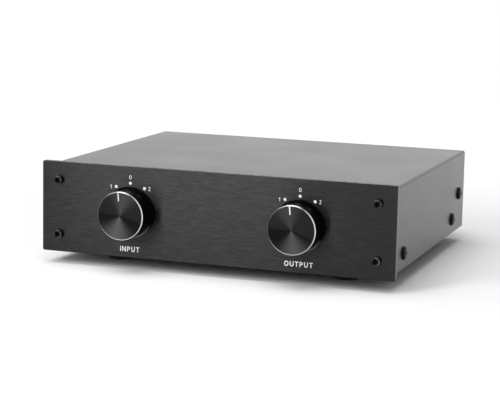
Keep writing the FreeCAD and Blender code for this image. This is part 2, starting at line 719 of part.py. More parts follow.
# ---- terminals ------------------------------------------------------------
def terminal_pieces():
    """Stud, collar, cap and what holds them in the rear panel, on the axis x = z = 0."""
    bore = "stud_radius + thread_gap"
    stud = Piece("stud")
    inner_end = "stud_nut_front - stud_overrun"
    outer_end = "collar_back + stud_reach"
    stud.turn([
        ("0", inner_end), ("stud_radius", inner_end), ("stud_radius", outer_end),
        ("plug_bore", outer_end), ("plug_bore", outer_end + " - plug_depth"),
        ("0", outer_end + " - plug_depth"),
    ])
    cross_hole = stud.sketch("XY")
    circle(cross_hole, "wire_hole", "0", "collar_back + wire_hole_setback")
    stud.cut(cross_hole)

    collar = Piece("collar")
    collar.turn([
        (bore, "rear_face + nut_gap"), ("spigot_radius", "rear_face + nut_gap"),
        ("spigot_radius", "case_back"), ("collar_radius", "case_back"),
        ("collar_radius", "collar_back - collar_bevel"),
        ("collar_radius - collar_bevel", "collar_back"), (bore, "collar_back"),
    ])

    cap = Piece("cap")
    front = "collar_back + cap_gap"
    cap.turn([
        (bore, front), ("cap_radius - cap_bevel", front),
        ("cap_radius", front + " + cap_bevel"), ("cap_radius", "cap_back - cap_bevel"),
        ("cap_radius - cap_bevel", "cap_back"), ("plug_bore + cap_hole_gap", "cap_back"),
        ("plug_bore + cap_hole_gap", "cap_back - cap_end"), (bore, "cap_back - cap_end"),
    ])
    flute = cap.sketch("XZ", front)
    circle(flute, "flute_radius", "0", "cap_radius + flute_offset")
    cap.round_pattern(cap.cut(flute, "cap_length"), "flute_count")

    insulator = Piece("insulator")
    insulator.turn([
        (bore, "rear_face - insulator_thickness"),
        ("insulator_radius", "rear_face - insulator_thickness"),
        ("insulator_radius", "rear_face"), (bore, "rear_face"),
    ])

    tag = Piece("tag")
    ring = tag.sketch("XZ", "tag_front")
    circle(ring, "tag_radius")
    tag.pad(ring, "tag_thickness")
    tail = tag.sketch("XZ", "tag_front")
    rectangle(tail, "-tag_width / 2", "0", "tag_width / 2", "tag_reach")
    tag.pad(tail, "tag_thickness")
    hole = tag.sketch("XZ", "tag_front")
    circle(hole, bore)
    tag.cut(hole, "tag_thickness")

    nut = Piece("stud_nut")
    outline = nut.sketch("XZ", "stud_nut_front")
    hexagon(outline, "stud_nut_flats")
    circle(outline, bore)
    nut.pad(outline, "stud_nut_height")
    return stud, collar, cap, insulator, tag, nut


def screw_terminals():
    stud, collar, cap, insulator, tag, nut = terminal_pieces()
    spots = list(terminals())

    def copies(piece, colour=None):
        return [(piece.body, (x, "0", z), None) for _name, row, x, z in spots if colour in (None, row)]

    group("terminal_studs", copies(stud))
    group("red_collars", copies(collar, "red"))
    group("black_collars", copies(collar, "black"))
    group("terminal_insulators", copies(insulator))
    group("terminal_nuts", copies(nut))
    tags = []
    for _name, row, x, z in spots:
        turn = None if row == "red" else (Y_AXIS, "180")
        tags.append((tag.body, (x, "0", z), turn))
    group("solder_tags", tags)
    for name, _row, x, z in spots:
        group(name + "_cap", [(cap.body, (x, "0", z), None)])


# ---- rotary switches ------------------------------------------------------
def knob_pieces():
    """Knob and its set screw, on the axis x = z = 0."""
    knob = Piece("knob")
    bore = "shaft_radius + shaft_gap"
    knob.turn([
        ("0", "-knob_reach"), ("knob_radius - knob_bevel", "-knob_reach"),
        ("knob_radius", "knob_bevel - knob_reach"), ("knob_radius", "-knob_gap - knob_lip_thickness"),
        ("knob_lip_radius", "-knob_gap - knob_lip_thickness"),
        ("knob_lip_radius", "-knob_gap - knob_rear_bevel"),
        ("knob_lip_radius - knob_rear_bevel", "-knob_gap"), ("knob_hollow", "-knob_gap"),
        ("knob_hollow", "hollow_front"), (bore, "hollow_front"), (bore, "bore_front"), ("0", "bore_front"),
    ])
    groove = knob.sketch("XZ", "-knob_reach")
    upright = "90 + pointer_lean"
    corners = []
    outer = "knob_radius - knob_bevel"
    for radius, side in (("pointer_inner", -1), (outer, -1), (outer, 1), ("pointer_inner", 1)):
        across, up = polar(radius, upright)
        aside, rise = polar("%d * pointer_width / 2" % side, "pointer_lean")
        corners.append((across + " + " + aside, up + " + " + rise))
    polygon(groove, corners)
    knob.cut(groove, "pointer_depth")
    groove_end = knob.sketch("XZ", "-knob_reach")
    circle(groove_end, "pointer_width / 2", *polar("pointer_inner", upright))
    knob.cut(groove_end, "pointer_depth")
    screw_y = "set_screw_setback - knob_reach"
    screw_hole = knob.sketch("XY")
    circle(screw_hole, "set_screw_radius + thread_gap", "0", screw_y)
    knob.cut(screw_hole, "knob_radius * 2", towards=-1)

    set_screw = Piece("set_screw")
    top = "-shaft_flat - shaft_gap"
    shank = set_screw.sketch("XY", top)
    circle(shank, "set_screw_radius", "0", screw_y)
    set_screw.pad(shank, "set_screw_length", towards=-1)
    socket = set_screw.sketch("XY", top + " - set_screw_length")
    hexagon(socket, "set_screw_socket", screw_y)
    set_screw.cut(socket, "set_screw_socket_depth")
    return knob, set_screw


def shaft_piece():
    """Round at the front with a flat for the set screw, a flat bar behind the bushing."""
    shaft = Piece("shaft")
    front = "bore_front + shaft_end_gap"
    shaft.turn([("0", front), ("shaft_radius", front), ("shaft_radius", "bar_front"), ("0", "bar_front")])
    bar = shaft.sketch("XZ", "bar_front")
    rectangle(bar, "-bar_width / 2", "-bar_thickness / 2", "bar_width / 2", "bar_thickness / 2")
    shaft.pad(bar, "last_rotor_back + bar_overrun - bar_front")
    flat = shaft.sketch("XY", "-shaft_flat")
    rectangle(flat, "-shaft_radius", front, "shaft_radius", "hollow_front")
    shaft.cut(flat, "shaft_radius", towards=-1)
    return shaft


def bar_hole(piece, level, depth):
    """Cut the hole that the shaft's bar goes through."""
    hole = piece.sketch("XZ", level)
    half_width, half_height = "(bar_width / 2 + bar_gap)", "(bar_thickness / 2 + bar_gap)"
    rectangle(hole, "-" + half_width, "-" + half_height, half_width, half_height)
    piece.cut(hole, depth)


def sector(sketch, inner, outer, start, end, steps):
    """Outline of part of a ring, its curved sides as short chords."""
    angles = ["%s + (%s - (%s)) * %d / %d" % (start, end, start, step, steps)
              for step in range(steps + 1)]
    polygon(sketch, [polar(outer, angle) for angle in angles]
            + [polar(inner, angle) for angle in reversed(angles)])


def star_piece():
    """Notched wheel with a tab that meets the stop ribs at both ends of the travel."""
    star = Piece("star")
    disc = star.sketch("XZ", "star_front")
    circle(disc, "star_radius")
    star.pad(disc, "star_thickness")
    tab = star.sketch("XZ", "star_front")
    sector(tab, "star_radius / 2", "stop_tab_reach",
           "-90 - stop_tab_width / 2", "-90 + stop_tab_width / 2", 2)
    star.pad(tab, "star_thickness")
    notch = star.sketch("XZ", "star_front")
    for step in range(-3, 4):
        across, up = polar("star_radius", "90 + switch_step * %d" % step)
        circle(notch, "star_notch", across, up)
    star.cut(notch, "star_thickness")
    bar_hole(star, "star_front", "star_thickness")
    return star


EARS = ("ear_angle", "ear_angle + 180")


def ears(piece, level, depth, inner):
    """Two ears for the tie bolts, each on an arm that starts at radius inner."""
    for angle in EARS:
        arm = piece.sketch("XZ", level)
        corners = []
        for radius, side in ((inner, -1), ("ear_reach", -1), ("ear_reach", 1), (inner, 1)):
            across, up = polar(radius, angle)
            aside, rise = polar("%d * ear_radius" % side, angle + " + 90")
            corners.append((across + " + " + aside, up + " + " + rise))
        polygon(arm, corners)
        piece.pad(arm, depth)
        end = piece.sketch("XZ", level)
        across, up = polar("ear_reach", angle)
        circle(end, "ear_radius", across, up)
        piece.pad(end, depth)


def ear_holes(sketch, radius):
    for angle in EARS:
        across, up = polar("ear_reach", angle)
        circle(sketch, radius, across, up)


def frame_piece():
    """Bushing, detent cup with two stop ribs, and two ears for the tie bolts."""
    frame = Piece("frame")
    bore = "shaft_radius + shaft_gap"
    cup_inside = "cup_radius - cup_wall"
    frame.turn([
        (bore, "bushing_front"), ("bushing_radius", "bushing_front"), ("bushing_radius", "wall_back"),
        ("cup_radius", "wall_back"), ("cup_radius", "cup_back"), (cup_inside, "cup_back"),
        (cup_inside, "wall_back + cup_floor"), (bore, "wall_back + cup_floor"),
    ])
    ears(frame, "wall_back", "cup_depth", cup_inside + " + cup_wall / 4")
    for side in (-1, 1):
        rib = frame.sketch("XZ", "wall_back + cup_floor")
        start = "-90 + %d * (switch_step + stop_tab_width / 2 + stop_gap)" % side
        end = start + " + %d * stop_width" % side
        sector(rib, "stop_inner", "cup_radius - cup_wall / 2", start, end, 2)
        frame.pad(rib, "stop_height")
    bolt_holes = frame.sketch("XZ", "cup_back - tie_bolt_grip - thread_show")
    ear_holes(bolt_holes, "tie_bolt_radius + thread_gap")
    frame.cut(bolt_holes, "tie_bolt_grip + thread_show")
    return frame


def bushing_fasteners():
    """Nut and washer that clamp a switch to the chassis wall, inside the front panel's opening."""
    nut = Piece("bushing_nut")
    outline = nut.sketch("XZ", "bushing_nut_front")
    hexagon(outline, "bushing_nut_flats")
    circle(outline, "bushing_radius + thread_gap")
    nut.pad(outline, "bushing_nut_height")
    washer = Piece("lock_washer")
    ring = washer.sketch("XZ", "washer_front")
    circle(ring, "lock_washer_radius")
    circle(ring, "bushing_radius + hole_gap")
    washer.pad(ring, "lock_washer_thickness")
    return nut, washer


def spring_piece():
    """Leaf spring across the cup, bent in its middle to drop into the star's notches."""
    spring = Piece("detent_leaf")
    profile = spring.sketch("XZ", "star_front + (star_thickness - spring_width) / 2")
    low, thick, nose = "spring_rise", "spring_thickness", "spring_nose"
    tip = "(star_radius + star_gap)"
    knee = "(%s + spring_nose)" % tip
    reach = "sqrt((cup_radius - cup_wall)^2 - (%s + %s)^2)" % (low, thick)
    right = [(nose, knee), (reach, low), (reach, low + " + " + thick), (nose, knee + " + " + thick)]
    left = [("-(%s)" % x, z) for x, z in reversed(right)]
    polygon(profile, [("0", tip)] + right + [("0", tip + " + %s * sqrt(2)" % thick)] + left)
    spring.pad(profile, "spring_width")
    return spring


def wafer_pieces():
    """Wafer with its rotor and the rotor's two blades, front face at y = 0."""
    wafer = Piece("wafer")
    disc = wafer.sketch("XZ")
    circle(disc, "wafer_radius")
    wafer.pad(disc, "wafer_thickness")
    ears(wafer, "0", "wafer_thickness", "wafer_radius / 2")
    holes = wafer.sketch("XZ")
    ear_holes(holes, "tie_bolt_radius + hole_gap")
    circle(holes, "rotor_radius + rotor_gap")
    wafer.cut(holes, "wafer_thickness")

    rotor = Piece("rotor")
    disc = rotor.sketch("XZ")
    circle(disc, "rotor_radius")
    rotor.pad(disc, "wafer_thickness + rotor_proud")
    bar_hole(rotor, "0", "wafer_thickness + rotor_proud")

    blade = Piece("blade")
    ring = blade.sketch("XZ", "blade_front")
    sector(ring, "blade_inner", "rotor_radius", "90 - switch_step / 2", "180 + switch_step * 1.5", 12)
    blade.pad(ring, "blade_thickness")
    nose = blade.sketch("XZ", "blade_front")
    rectangle(nose, "-blade_nose_width / 2", "blade_inner + blade_thickness",
              "blade_nose_width / 2", "blade_nose")
    blade.pad(nose, "blade_thickness")
    return wafer, rotor, blade


def contact_piece(name, jaw_inner):
    """Spring contact on the wafer's rear face, pointing to the right."""
    contact = Piece(name)
    profile = contact.sketch("XY")
    face, jaw, back = "wafer_thickness", "jaw_front", "jaw_front + jaw_thickness"
    heel = "contact_foot + contact_foot_width"
    polygon(profile, [
        (jaw_inner, jaw), ("contact_foot", jaw), ("contact_foot", face), ("lug_reach", face),
        ("lug_reach", face + " + lug_thickness"), (heel, face + " + lug_thickness"),
        (heel, back), (jaw_inner, back),
    ])
    contact.pad(profile, "contact_width", middle=True)
    return contact


def tie_bolt_pieces():
    bolt = Piece("tie_bolt")
    head_end = "last_wafer_back + tie_bolt_head_height"
    bolt.turn([
        ("0", "cup_back - tie_bolt_grip"), ("tie_bolt_radius", "cup_back - tie_bolt_grip"),
        ("tie_bolt_radius", "last_wafer_back"), ("tie_bolt_head", "last_wafer_back"),
        ("tie_bolt_head", head_end), ("0", head_end),
    ])
    bore = "tie_bolt_radius + hole_gap"
    spacers = []
    spans = [("front_spacer", "cup_back", "wafer_front"),
             ("rear_spacer", "wafer_front + wafer_thickness", "wafer_front + wafer_spacing")]
    for name, front, back in spans:
        spacer = Piece(name)
        spacer.turn([(bore, front), ("spacer_radius", front), ("spacer_radius", back), (bore, back)])
        spacers.append(spacer)
    return bolt, spacers


# Sides of a switch, a quarter turn apart and counted as the angles are.
SIDES = ("right", "top", "left", "bottom")
WAFER_LEVELS = {"front": "wafer_front", "rear": "wafer_front + wafer_spacing"}

# A pole has the name of the side that its middle contact is on.  It also has the wafer
# that carries it and the terminal colour that it switches.  Its common contact is on the
# next side round.  The channels differ so that the links join like with like.
POLES = {
    "top": ("front", "red"),
    "bottom": ("front", "red"),
    "left": ("rear", "black"),
    "right": ("rear", "black"),
}
POLE_CHANNELS = {
    "amplifier": {"top": "left", "bottom": "right", "left": "right", "right": "left"},
    "speaker": {"top": "right", "bottom": "left", "left": "right", "right": "left"},
}


def angle_of(side):
    """Degrees from the right to a side, as a formula."""
    return "%d" % (90 * SIDES.index(side))


def next_side(side):
    return SIDES[SIDES.index(side) + 1 - len(SIDES)]


def turned_to(angle):
    """Turn that carries a contact to its place on a wafer."""
    return Y_AXIS, "-(%s)" % angle


def rotary_switches():
    knob, set_screw = knob_pieces()
    shaft = shaft_piece()
    star = star_piece()
    frame = frame_piece()
    nut, washer = bushing_fasteners()
    spring = spring_piece()
    wafer, rotor, blade = wafer_pieces()
    contact = contact_piece("position_contact", "jaw_inner")
    common = contact_piece("common_contact", "common_jaw_inner")
    bolt, spacers = tie_bolt_pieces()

    for name, x in SWITCHES:
        centre = (x, "0", "panel_mid")
        levels = {wafer: (x, level, "panel_mid") for wafer, level in WAFER_LEVELS.items()}
        group(name + "_knob", [(knob.body, centre, None)])
        group(name + "_set_screw", [(set_screw.body, centre, None)])
        group(name + "_shaft", [(shaft.body, centre, None)])
        group(name + "_detent_star", [(star.body, centre, None)])
        group(name + "_rotors", [(rotor.body, level, None) for level in levels.values()])
        blades = []
        contacts = []
        for side, (level, _colour) in POLES.items():
            middle = angle_of(side)
            blades.append((blade.body, levels[level], turned_to(middle + " - 90")))
            for step in (" - switch_step", "", " + switch_step"):
                contacts.append((contact.body, levels[level], turned_to(middle + step)))
            contacts.append((common.body, levels[level], turned_to(angle_of(next_side(side)))))
        group(name + "_rotor_blades", blades)
        group(name + "_contacts", contacts)
        group(name + "_switch_frame", [(frame.body, centre, None)])
        group(name + "_wafers", [(wafer.body, level, None) for level in levels.values()])

    centres = [(x, "0", "panel_mid") for _name, x in SWITCHES]
    group("bushing_nuts", [(nut.body, centre, None) for centre in centres])
    group("lock_washers", [(washer.body, centre, None) for centre in centres])
    group("detent_springs", [(spring.body, centre, None) for centre in centres])
    bolts, tubes = [], []
    for _name, x in SWITCHES:
        for angle in EARS:
            across, up = polar("ear_reach", angle)
            spot = (x + " + " + across, "0", "panel_mid + " + up)
            bolts.append((bolt.body, spot, None))
            tubes += [(spacer.body, spot, None) for spacer in spacers]
    group("tie_bolts", bolts)
    group("wafer_spacers", tubes)


# ---- wires ----------------------------------------------------------------
BEND_SHARE = 0.45    # share of the shorter run next to a corner that its bend takes
STRAIGHT = 1e-6      # a corner that turns less than this many radians needs no bend


def tube(points, radius):
    """Insulated wire: straight runs joined by tangent arcs as large as the runs allow."""
    edges = []
    start = points[0]
    for before, corner, after in zip(points, points[1:], points[2:]):
        inwards = (before - corner).normalize()
        onwards = (after - corner).normalize()
        half_turn = (math.pi - inwards.getAngle(onwards)) / 2
        if half_turn < STRAIGHT:
            continue
        setback = BEND_SHARE * min(before.distanceToPoint(corner), after.distanceToPoint(corner))
        bend = setback / math.tan(half_turn)
        first, last = corner + inwards * setback, corner + onwards * setback
        centre = corner + (inwards + onwards).normalize() * (bend / math.cos(half_turn))
        middle = centre + (corner - centre).normalize() * bend
        edges.append(Part.LineSegment(start, first).toShape())
        edges.append(Part.Arc(first, middle, last).toShape())
        start = last
    edges.append(Part.LineSegment(start, points[-1]).toShape())
    path = Part.Wire(edges)
    heading = (points[1] - points[0]).normalize()
    section = Part.Wire([Part.makeCircle(radius, points[0], heading)])
    return path.makePipeShell([section], True, False)


def lug_spot(switch_x, wafer, angle):
    """Where a wire meets the lug of a contact."""
    across, up = polar("lug_seat", angle)
    level = WAFER_LEVELS[wafer] + " + wafer_thickness + lug_thickness"
    return Vector(number(switch_x + " + " + across), number(level), number("panel_mid + " + up))


# Order in which the eight wires of a switch cross over to their terminals, from the front
# of the case to the back, so that none passes through another: pole and device.
CROSSING_ORDER = {
    "amplifier": "top 1, top 2, left 1, right 1, bottom 2, right 2, left 2, bottom 1",
    "speaker": "top 1, left 1, right 1, top 2, bottom 2, right 2, left 2, bottom 1",
}
DEVICE_STEP = {"1": " + switch_step", "2": " - switch_step"}


def terminal_wires(switch, switch_x):
    """Wires from the position contacts straight back, across in a slot each, and on to the tags."""
    order = [entry.split() for entry in CROSSING_ORDER[switch].split(", ")]
    slot_length = number("fan_end - fan_start") / len(order)
    spots = {name: (x, z) for name, _row, x, z in terminals()}
    for slot, (side, device) in enumerate(order):
        wafer, colour = POLES[side]
        start = lug_spot(switch_x, wafer, angle_of(side) + DEVICE_STEP[device])
        x, z = spots["%s_%s_%s_%s" % (switch, device, POLE_CHANNELS[switch][side], colour)]
        seat = "tag_seat" if colour == "red" else "-tag_seat"
        end = Vector(number(x), number("tag_front"), number(z + " + " + seat))
        leave = number("fan_start") + slot * slot_length
        points = [start, Vector(start.x, leave, start.z), Vector(end.x, leave + slot_length, end.z), end]
        yield colour, tube(points, number("wire_radius"))


def link_wires():
    """Four wires that join the common contacts of the two switches, pole by pole.

    The lugs that face each other are joined directly.  The other links go above or
    below all the lugs.
    """
    (_left, left_x), (_right, right_x) = SWITCHES
    lead = Vector(0, number("link_lead"), 0)
    for pole, (wafer, colour) in POLES.items():
        side = next_side(pole)
        mirrored = {"left": "right", "right": "left"}.get(side, side)
        start = lug_spot(left_x, wafer, angle_of(side))
        end = lug_spot(right_x, wafer, angle_of(mirrored))
        points = [start, start + lead, end + lead, end]
        if side != "right":
            level = number("link_high" if side == "top" else "link_low")
            points[2:2] = [Vector(lug.x, lug.y + lead.y, level) for lug in (start, end)]
        yield colour, tube(points, number("wire_radius"))


def wires():
    coloured = {"red": [], "black": []}
    runs = [wire for switch, x in SWITCHES for wire in terminal_wires(switch, x)]
    for colour, solid in runs + list(link_wires()):
        coloured[colour].append(solid)
    for colour, solids in coloured.items():
        harness = doc.addObject("Part::Feature", colour + "_wires")
        harness.Shape = Part.makeCompound(solids)
        keep(harness, colour + "_wires")


# ---------------------------------------------------------------------------
# Build, check and write
# ---------------------------------------------------------------------------
def check():
    doc.recompute()
    for thing in doc.Objects:
        if "Invalid" in thing.State or "Error" in thing.State:
            raise RuntimeError("%s failed: %s" % (thing.Name, thing.State))
    for thing in sub_parts:
        if thing.Shape.isNull() or not thing.Shape.isValid() or not thing.Shape.Solids:
            raise RuntimeError(thing.Label + " has no valid shape")


def write():
    os.makedirs("parts", exist_ok=True)
    for thing in sub_parts:
        thing.Shape.exportStep("parts/%s.step" % thing.Label)
        print("%-32s %3d solids  %10.1f mm3" % (thing.Label, len(thing.Shape.Solids), thing.Shape.Volume))


front_panel()
front_panel_fasteners()
chassis()
rear_panel()
rear_panel_screws()
top_cover()
cover_screws()
feet()
screw_terminals()
rotary_switches()
wires()
check()
write()
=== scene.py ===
"""Speaker selector switch: materials, markings, floor, light and camera.

Everything is in metres in the part's own frame: the front faces -Y, +Z is up and the
floor is Z = 0.
"""
import json
import math

import bpy
from mathutils import Matrix, Vector

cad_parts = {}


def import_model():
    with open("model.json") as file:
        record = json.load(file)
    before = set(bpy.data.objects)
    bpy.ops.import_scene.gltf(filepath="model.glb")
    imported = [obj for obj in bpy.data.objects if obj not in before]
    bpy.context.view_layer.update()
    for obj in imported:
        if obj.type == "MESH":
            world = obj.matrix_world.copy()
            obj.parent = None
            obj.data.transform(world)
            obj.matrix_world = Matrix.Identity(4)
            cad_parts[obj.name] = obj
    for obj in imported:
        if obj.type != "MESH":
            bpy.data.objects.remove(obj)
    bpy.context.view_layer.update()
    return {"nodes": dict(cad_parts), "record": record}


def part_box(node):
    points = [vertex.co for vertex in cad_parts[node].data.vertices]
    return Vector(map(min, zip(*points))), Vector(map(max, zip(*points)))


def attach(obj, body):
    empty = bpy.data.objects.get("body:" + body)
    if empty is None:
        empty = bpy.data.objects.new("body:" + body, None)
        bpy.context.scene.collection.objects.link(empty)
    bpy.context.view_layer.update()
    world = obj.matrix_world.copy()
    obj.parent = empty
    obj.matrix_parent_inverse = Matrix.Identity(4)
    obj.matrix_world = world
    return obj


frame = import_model()

MM = 0.001

# ---------------------------------------------------------------------------
# Places, read from the frame
# ---------------------------------------------------------------------------
PANEL_LOW, PANEL_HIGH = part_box("front_panel")
PANEL_FACE = PANEL_LOW.y
PANEL_MIDDLE = (PANEL_LOW.z + PANEL_HIGH.z) / 2
REAR_LOW, REAR_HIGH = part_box("rear_panel")
REAR_FACE = REAR_HIGH.y
DIALS = ("amplifier", "speaker")


def middle(node):
    """Middle of a node's box."""
    low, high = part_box(node)
    return (low + high) / 2


KNOB_CENTRES = {dial: middle(dial + "_knob") for dial in DIALS}
KNOB_LOW, KNOB_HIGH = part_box("amplifier_knob")
KNOB_FACE = KNOB_LOW.y
KNOB_LENGTH = KNOB_HIGH.y - KNOB_LOW.y

# Sizes of the solids that their boxes don't give
PANEL_SCREW_HEAD = 2.75 * MM      # radius
PANEL_SCREW_BEVEL = 0.3 * MM
COVER_SCREW_CROWN = 0.28 * MM     # height of the dome's crown, round the socket
KNOB_RADIUS = 15.75 * MM
KNOB_BEVEL = 0.7 * MM
LIP_THICKNESS = 1.4 * MM
POINTER_INNER = 10.2 * MM         # inner end of the groove, from the axis
POINTER_WIDTH = 1.0 * MM
POINTER_DEPTH = 0.4 * MM
POINTER_LEAN = math.radians(6)    # left of upright, at rest

# Where their looks change
PANEL_SCREW_HIGHLIGHT = 2.15 * MM    # radius where the painted highlight on the edge of the head's face begins
PANEL_SCREW_BLUR = 0.25 * MM      # how far inwards that ring fades
KNOB_CUT = 0.58 * MM              # how much of the bevel is cut bright
EDGE = 0.01 * MM                  # how far a mask reaches past the face that it covers


# ---------------------------------------------------------------------------
# Node helpers
# ---------------------------------------------------------------------------
class Look:
    """A material with its principled shader and short ways to add nodes."""

    def __init__(self, name, **settings):
        self.material = bpy.data.materials.new(name)
        self.material.use_nodes = True
        self.tree = self.material.node_tree
        self.shader = self.tree.nodes["Principled BSDF"]
        for socket, value in settings.items():
            self.shader.inputs[socket.replace("_", " ")].default_value = value
        self.place = self.add("ShaderNodeTexCoord").outputs["Object"]

    def add(self, kind, **settings):
        node = self.tree.nodes.new(kind)
        for name, value in settings.items():
            setattr(node, name, value)
        return node

    def join(self, source, target):
        self.tree.links.new(source, target)

    def feed(self, socket, source):
        """Join source to a socket of the principled shader."""
        self.join(source, self.shader.inputs[socket])

    def math(self, operation, *values):
        """One math node on numbers or sockets."""
        node = self.add("ShaderNodeMath", operation=operation)
        for index, value in enumerate(values):
            if isinstance(value, (int, float)):
                node.inputs[index].default_value = value
            else:
                self.join(value, node.inputs[index])
        return node.outputs[0]

    def vector(self, operation, *values):
        """One vector math node on tuples or sockets."""
        node = self.add("ShaderNodeVectorMath", operation=operation)
        for index, value in enumerate(values):
            if isinstance(value, (tuple, Vector)):
                node.inputs[index].default_value = value
            else:
                self.join(value, node.inputs[index])
        return node.outputs[1 if operation in ("DOT_PRODUCT", "LENGTH") else 0]

    def noise(self, grain, detail=3.0, seed=0.0):
        """Noise whose patches are grain (x, y, z) metres across."""
        stretched = self.vector("DIVIDE", self.place, grain)
        node = self.add("ShaderNodeTexNoise", noise_dimensions="4D")
        self.join(stretched, node.inputs["Vector"])
        node.inputs["W"].default_value = seed
        node.inputs["Scale"].default_value = 1.0
        node.inputs["Detail"].default_value = detail
        return node.outputs[0]

    def spread(self, source, low, high, start=0.3, end=0.7):
        """Map source from start..end to low..high."""
        node = self.add("ShaderNodeMapRange")
        self.join(source, node.inputs["Value"])
        for name, value in (("From Min", start), ("From Max", end), ("To Min", low), ("To Max", high)):
            node.inputs[name].default_value = value
        return node.outputs[0]

    def tint(self, source, dark, light):
        """Colour between two colours."""
        node = self.add("ShaderNodeMix", data_type="RGBA")
        self.join(source, node.inputs["Factor"])
        for socket, colour in (("A", dark), ("B", light)):
            target = [s for s in node.inputs if s.name == socket and s.type == "RGBA"][0]
            if isinstance(colour, tuple):
                target.default_value = (*colour, 1.0)
            else:
                self.join(colour, target)
        return [s for s in node.outputs if s.type == "RGBA"][0]

    def blend(self, source, low, high):
        """Number between two numbers or sockets."""
        return self.math("ADD", self.math("MULTIPLY", source, self.math("SUBTRACT", high, low)), low)

    def bump(self, height, distance):
        node = self.add("ShaderNodeBump")
        node.inputs["Strength"].default_value = 1.0
        node.inputs["Distance"].default_value = distance
        self.join(height, node.inputs["Height"])
        self.feed("Normal", node.outputs[0])


def grey(level, warmth=0.0):
    """Grey, a little towards orange with some warmth."""
    return level * (1 + warmth), level, level * (1 - warmth)


# ---------------------------------------------------------------------------
# Materials
# ---------------------------------------------------------------------------
# Streaks of the brushing: length and height in metres, weight, detail and seed
BRUSH_STREAKS = (
    (4 * MM, 0.15 * MM, 0.3, 2, 0),
    (5 * MM, 0.4 * MM, 0.35, 1, 3),
    (9 * MM, 0.8 * MM, 0.35, 1, 7),
)


def brushed_panel():
    """Black anodised aluminium, brushed along its length."""
    look = Look("brushed_black_anodised", Metallic=1.0, Anisotropic=1.0)
    streaks = 0.0
    for length, height, weight, detail, seed in BRUSH_STREAKS:
        layer = look.noise((length, length, height), detail=detail, seed=seed)
        streaks = look.math("ADD", look.math("MULTIPLY", layer, weight), streaks)
    shade = look.spread(streaks, 0, 1, 0.36, 0.64)
    look.feed("Base Color", look.tint(shade, grey(0.022, 0.02), grey(0.038, 0.02)))
    look.feed("Roughness", look.spread(streaks, 0.19, 0.26))
    axis = look.add("ShaderNodeCombineXYZ")
    axis.inputs["Z"].default_value = 1.0
    look.feed("Tangent", axis.outputs[0])
    look.bump(streaks, 0.0016 * MM)
    return look.material


def satin_paint():
    """Satin black coat on the case, with a very fine grain."""
    look = Look("satin_black_coat", IOR=1.46, Specular_Tint=(1.0, 0.990, 0.976, 1.0))
    grain = look.noise((0.5 * MM,) * 3, detail=2)
    drift = look.noise((60 * MM,) * 3, detail=1, seed=5)
    shade = look.math("ADD", look.math("MULTIPLY", grain, 0.5), look.math("MULTIPLY", drift, 0.5))
    look.feed("Base Color", look.tint(look.spread(shade, 0, 1), grey(0.015, 0.04), grey(0.035, 0.04)))
    look.feed("Roughness", look.spread(shade, 0.20, 0.30))
    look.bump(grain, 0.005 * MM)
    return look.material


# Painted highlights: sectors of light painted into the colour of the turned pieces, from the right
# and anticlockwise: direction and half width in degrees, brightness, and how peaked.  Between them each
# surface has its black.
FACE_LIGHTS = {
    "amplifier": ((-101, 73, 0.084, 2.6), (80, 95, 0.010, 0.1), (80, 75, 0.039, 4.4)),
    "speaker": ((-82, 70, 0.076, 3.1), (80, 100, 0.012, 0.1), (102, 49, 0.028, 1.7)),
}
FACE_BLACK = 0.007
RING_PITCH = 0.1 * MM        # of the fine rings on the face
RIM_LIGHTS = ((-95, 60, 0.60, 0.6), (8, 52, 0.60, 0.5), (97, 32, 0.36, 1.0))
RIM_BLACK = 0.16
SIDE_LIGHTS = ((84, 26, 0.05, 1.0),)
SIDE_BLACK = 0.0015
SIDE_FADE = 7 * MM           # how far back the painted highlight on the side reaches
LIP_LIGHTS = ((-62, 36, 0.13, 0.8),)
PANEL_SCREW_LIGHTS = ((25, 130, 0.8, 0.8),)
PANEL_SCREW_BLACK = 0.2


def painted_sectors(look, angle, lights, black):
    """Painted highlight and shade: light and dark sectors painted into the colour of a part turned on a
    lathe.
    """
    total = black
    for direction, half_width, brightness, peak in lights:
        off = look.math("SUBTRACT", angle, math.radians(direction))
        edge = math.cos(math.radians(half_width))
        sector = look.math("POWER", look.spread(look.math("COSINE", off), 0, 1, edge, 1.0), peak)
        total = look.math("ADD", look.math("MULTIPLY", sector, brightness), total)
    return total


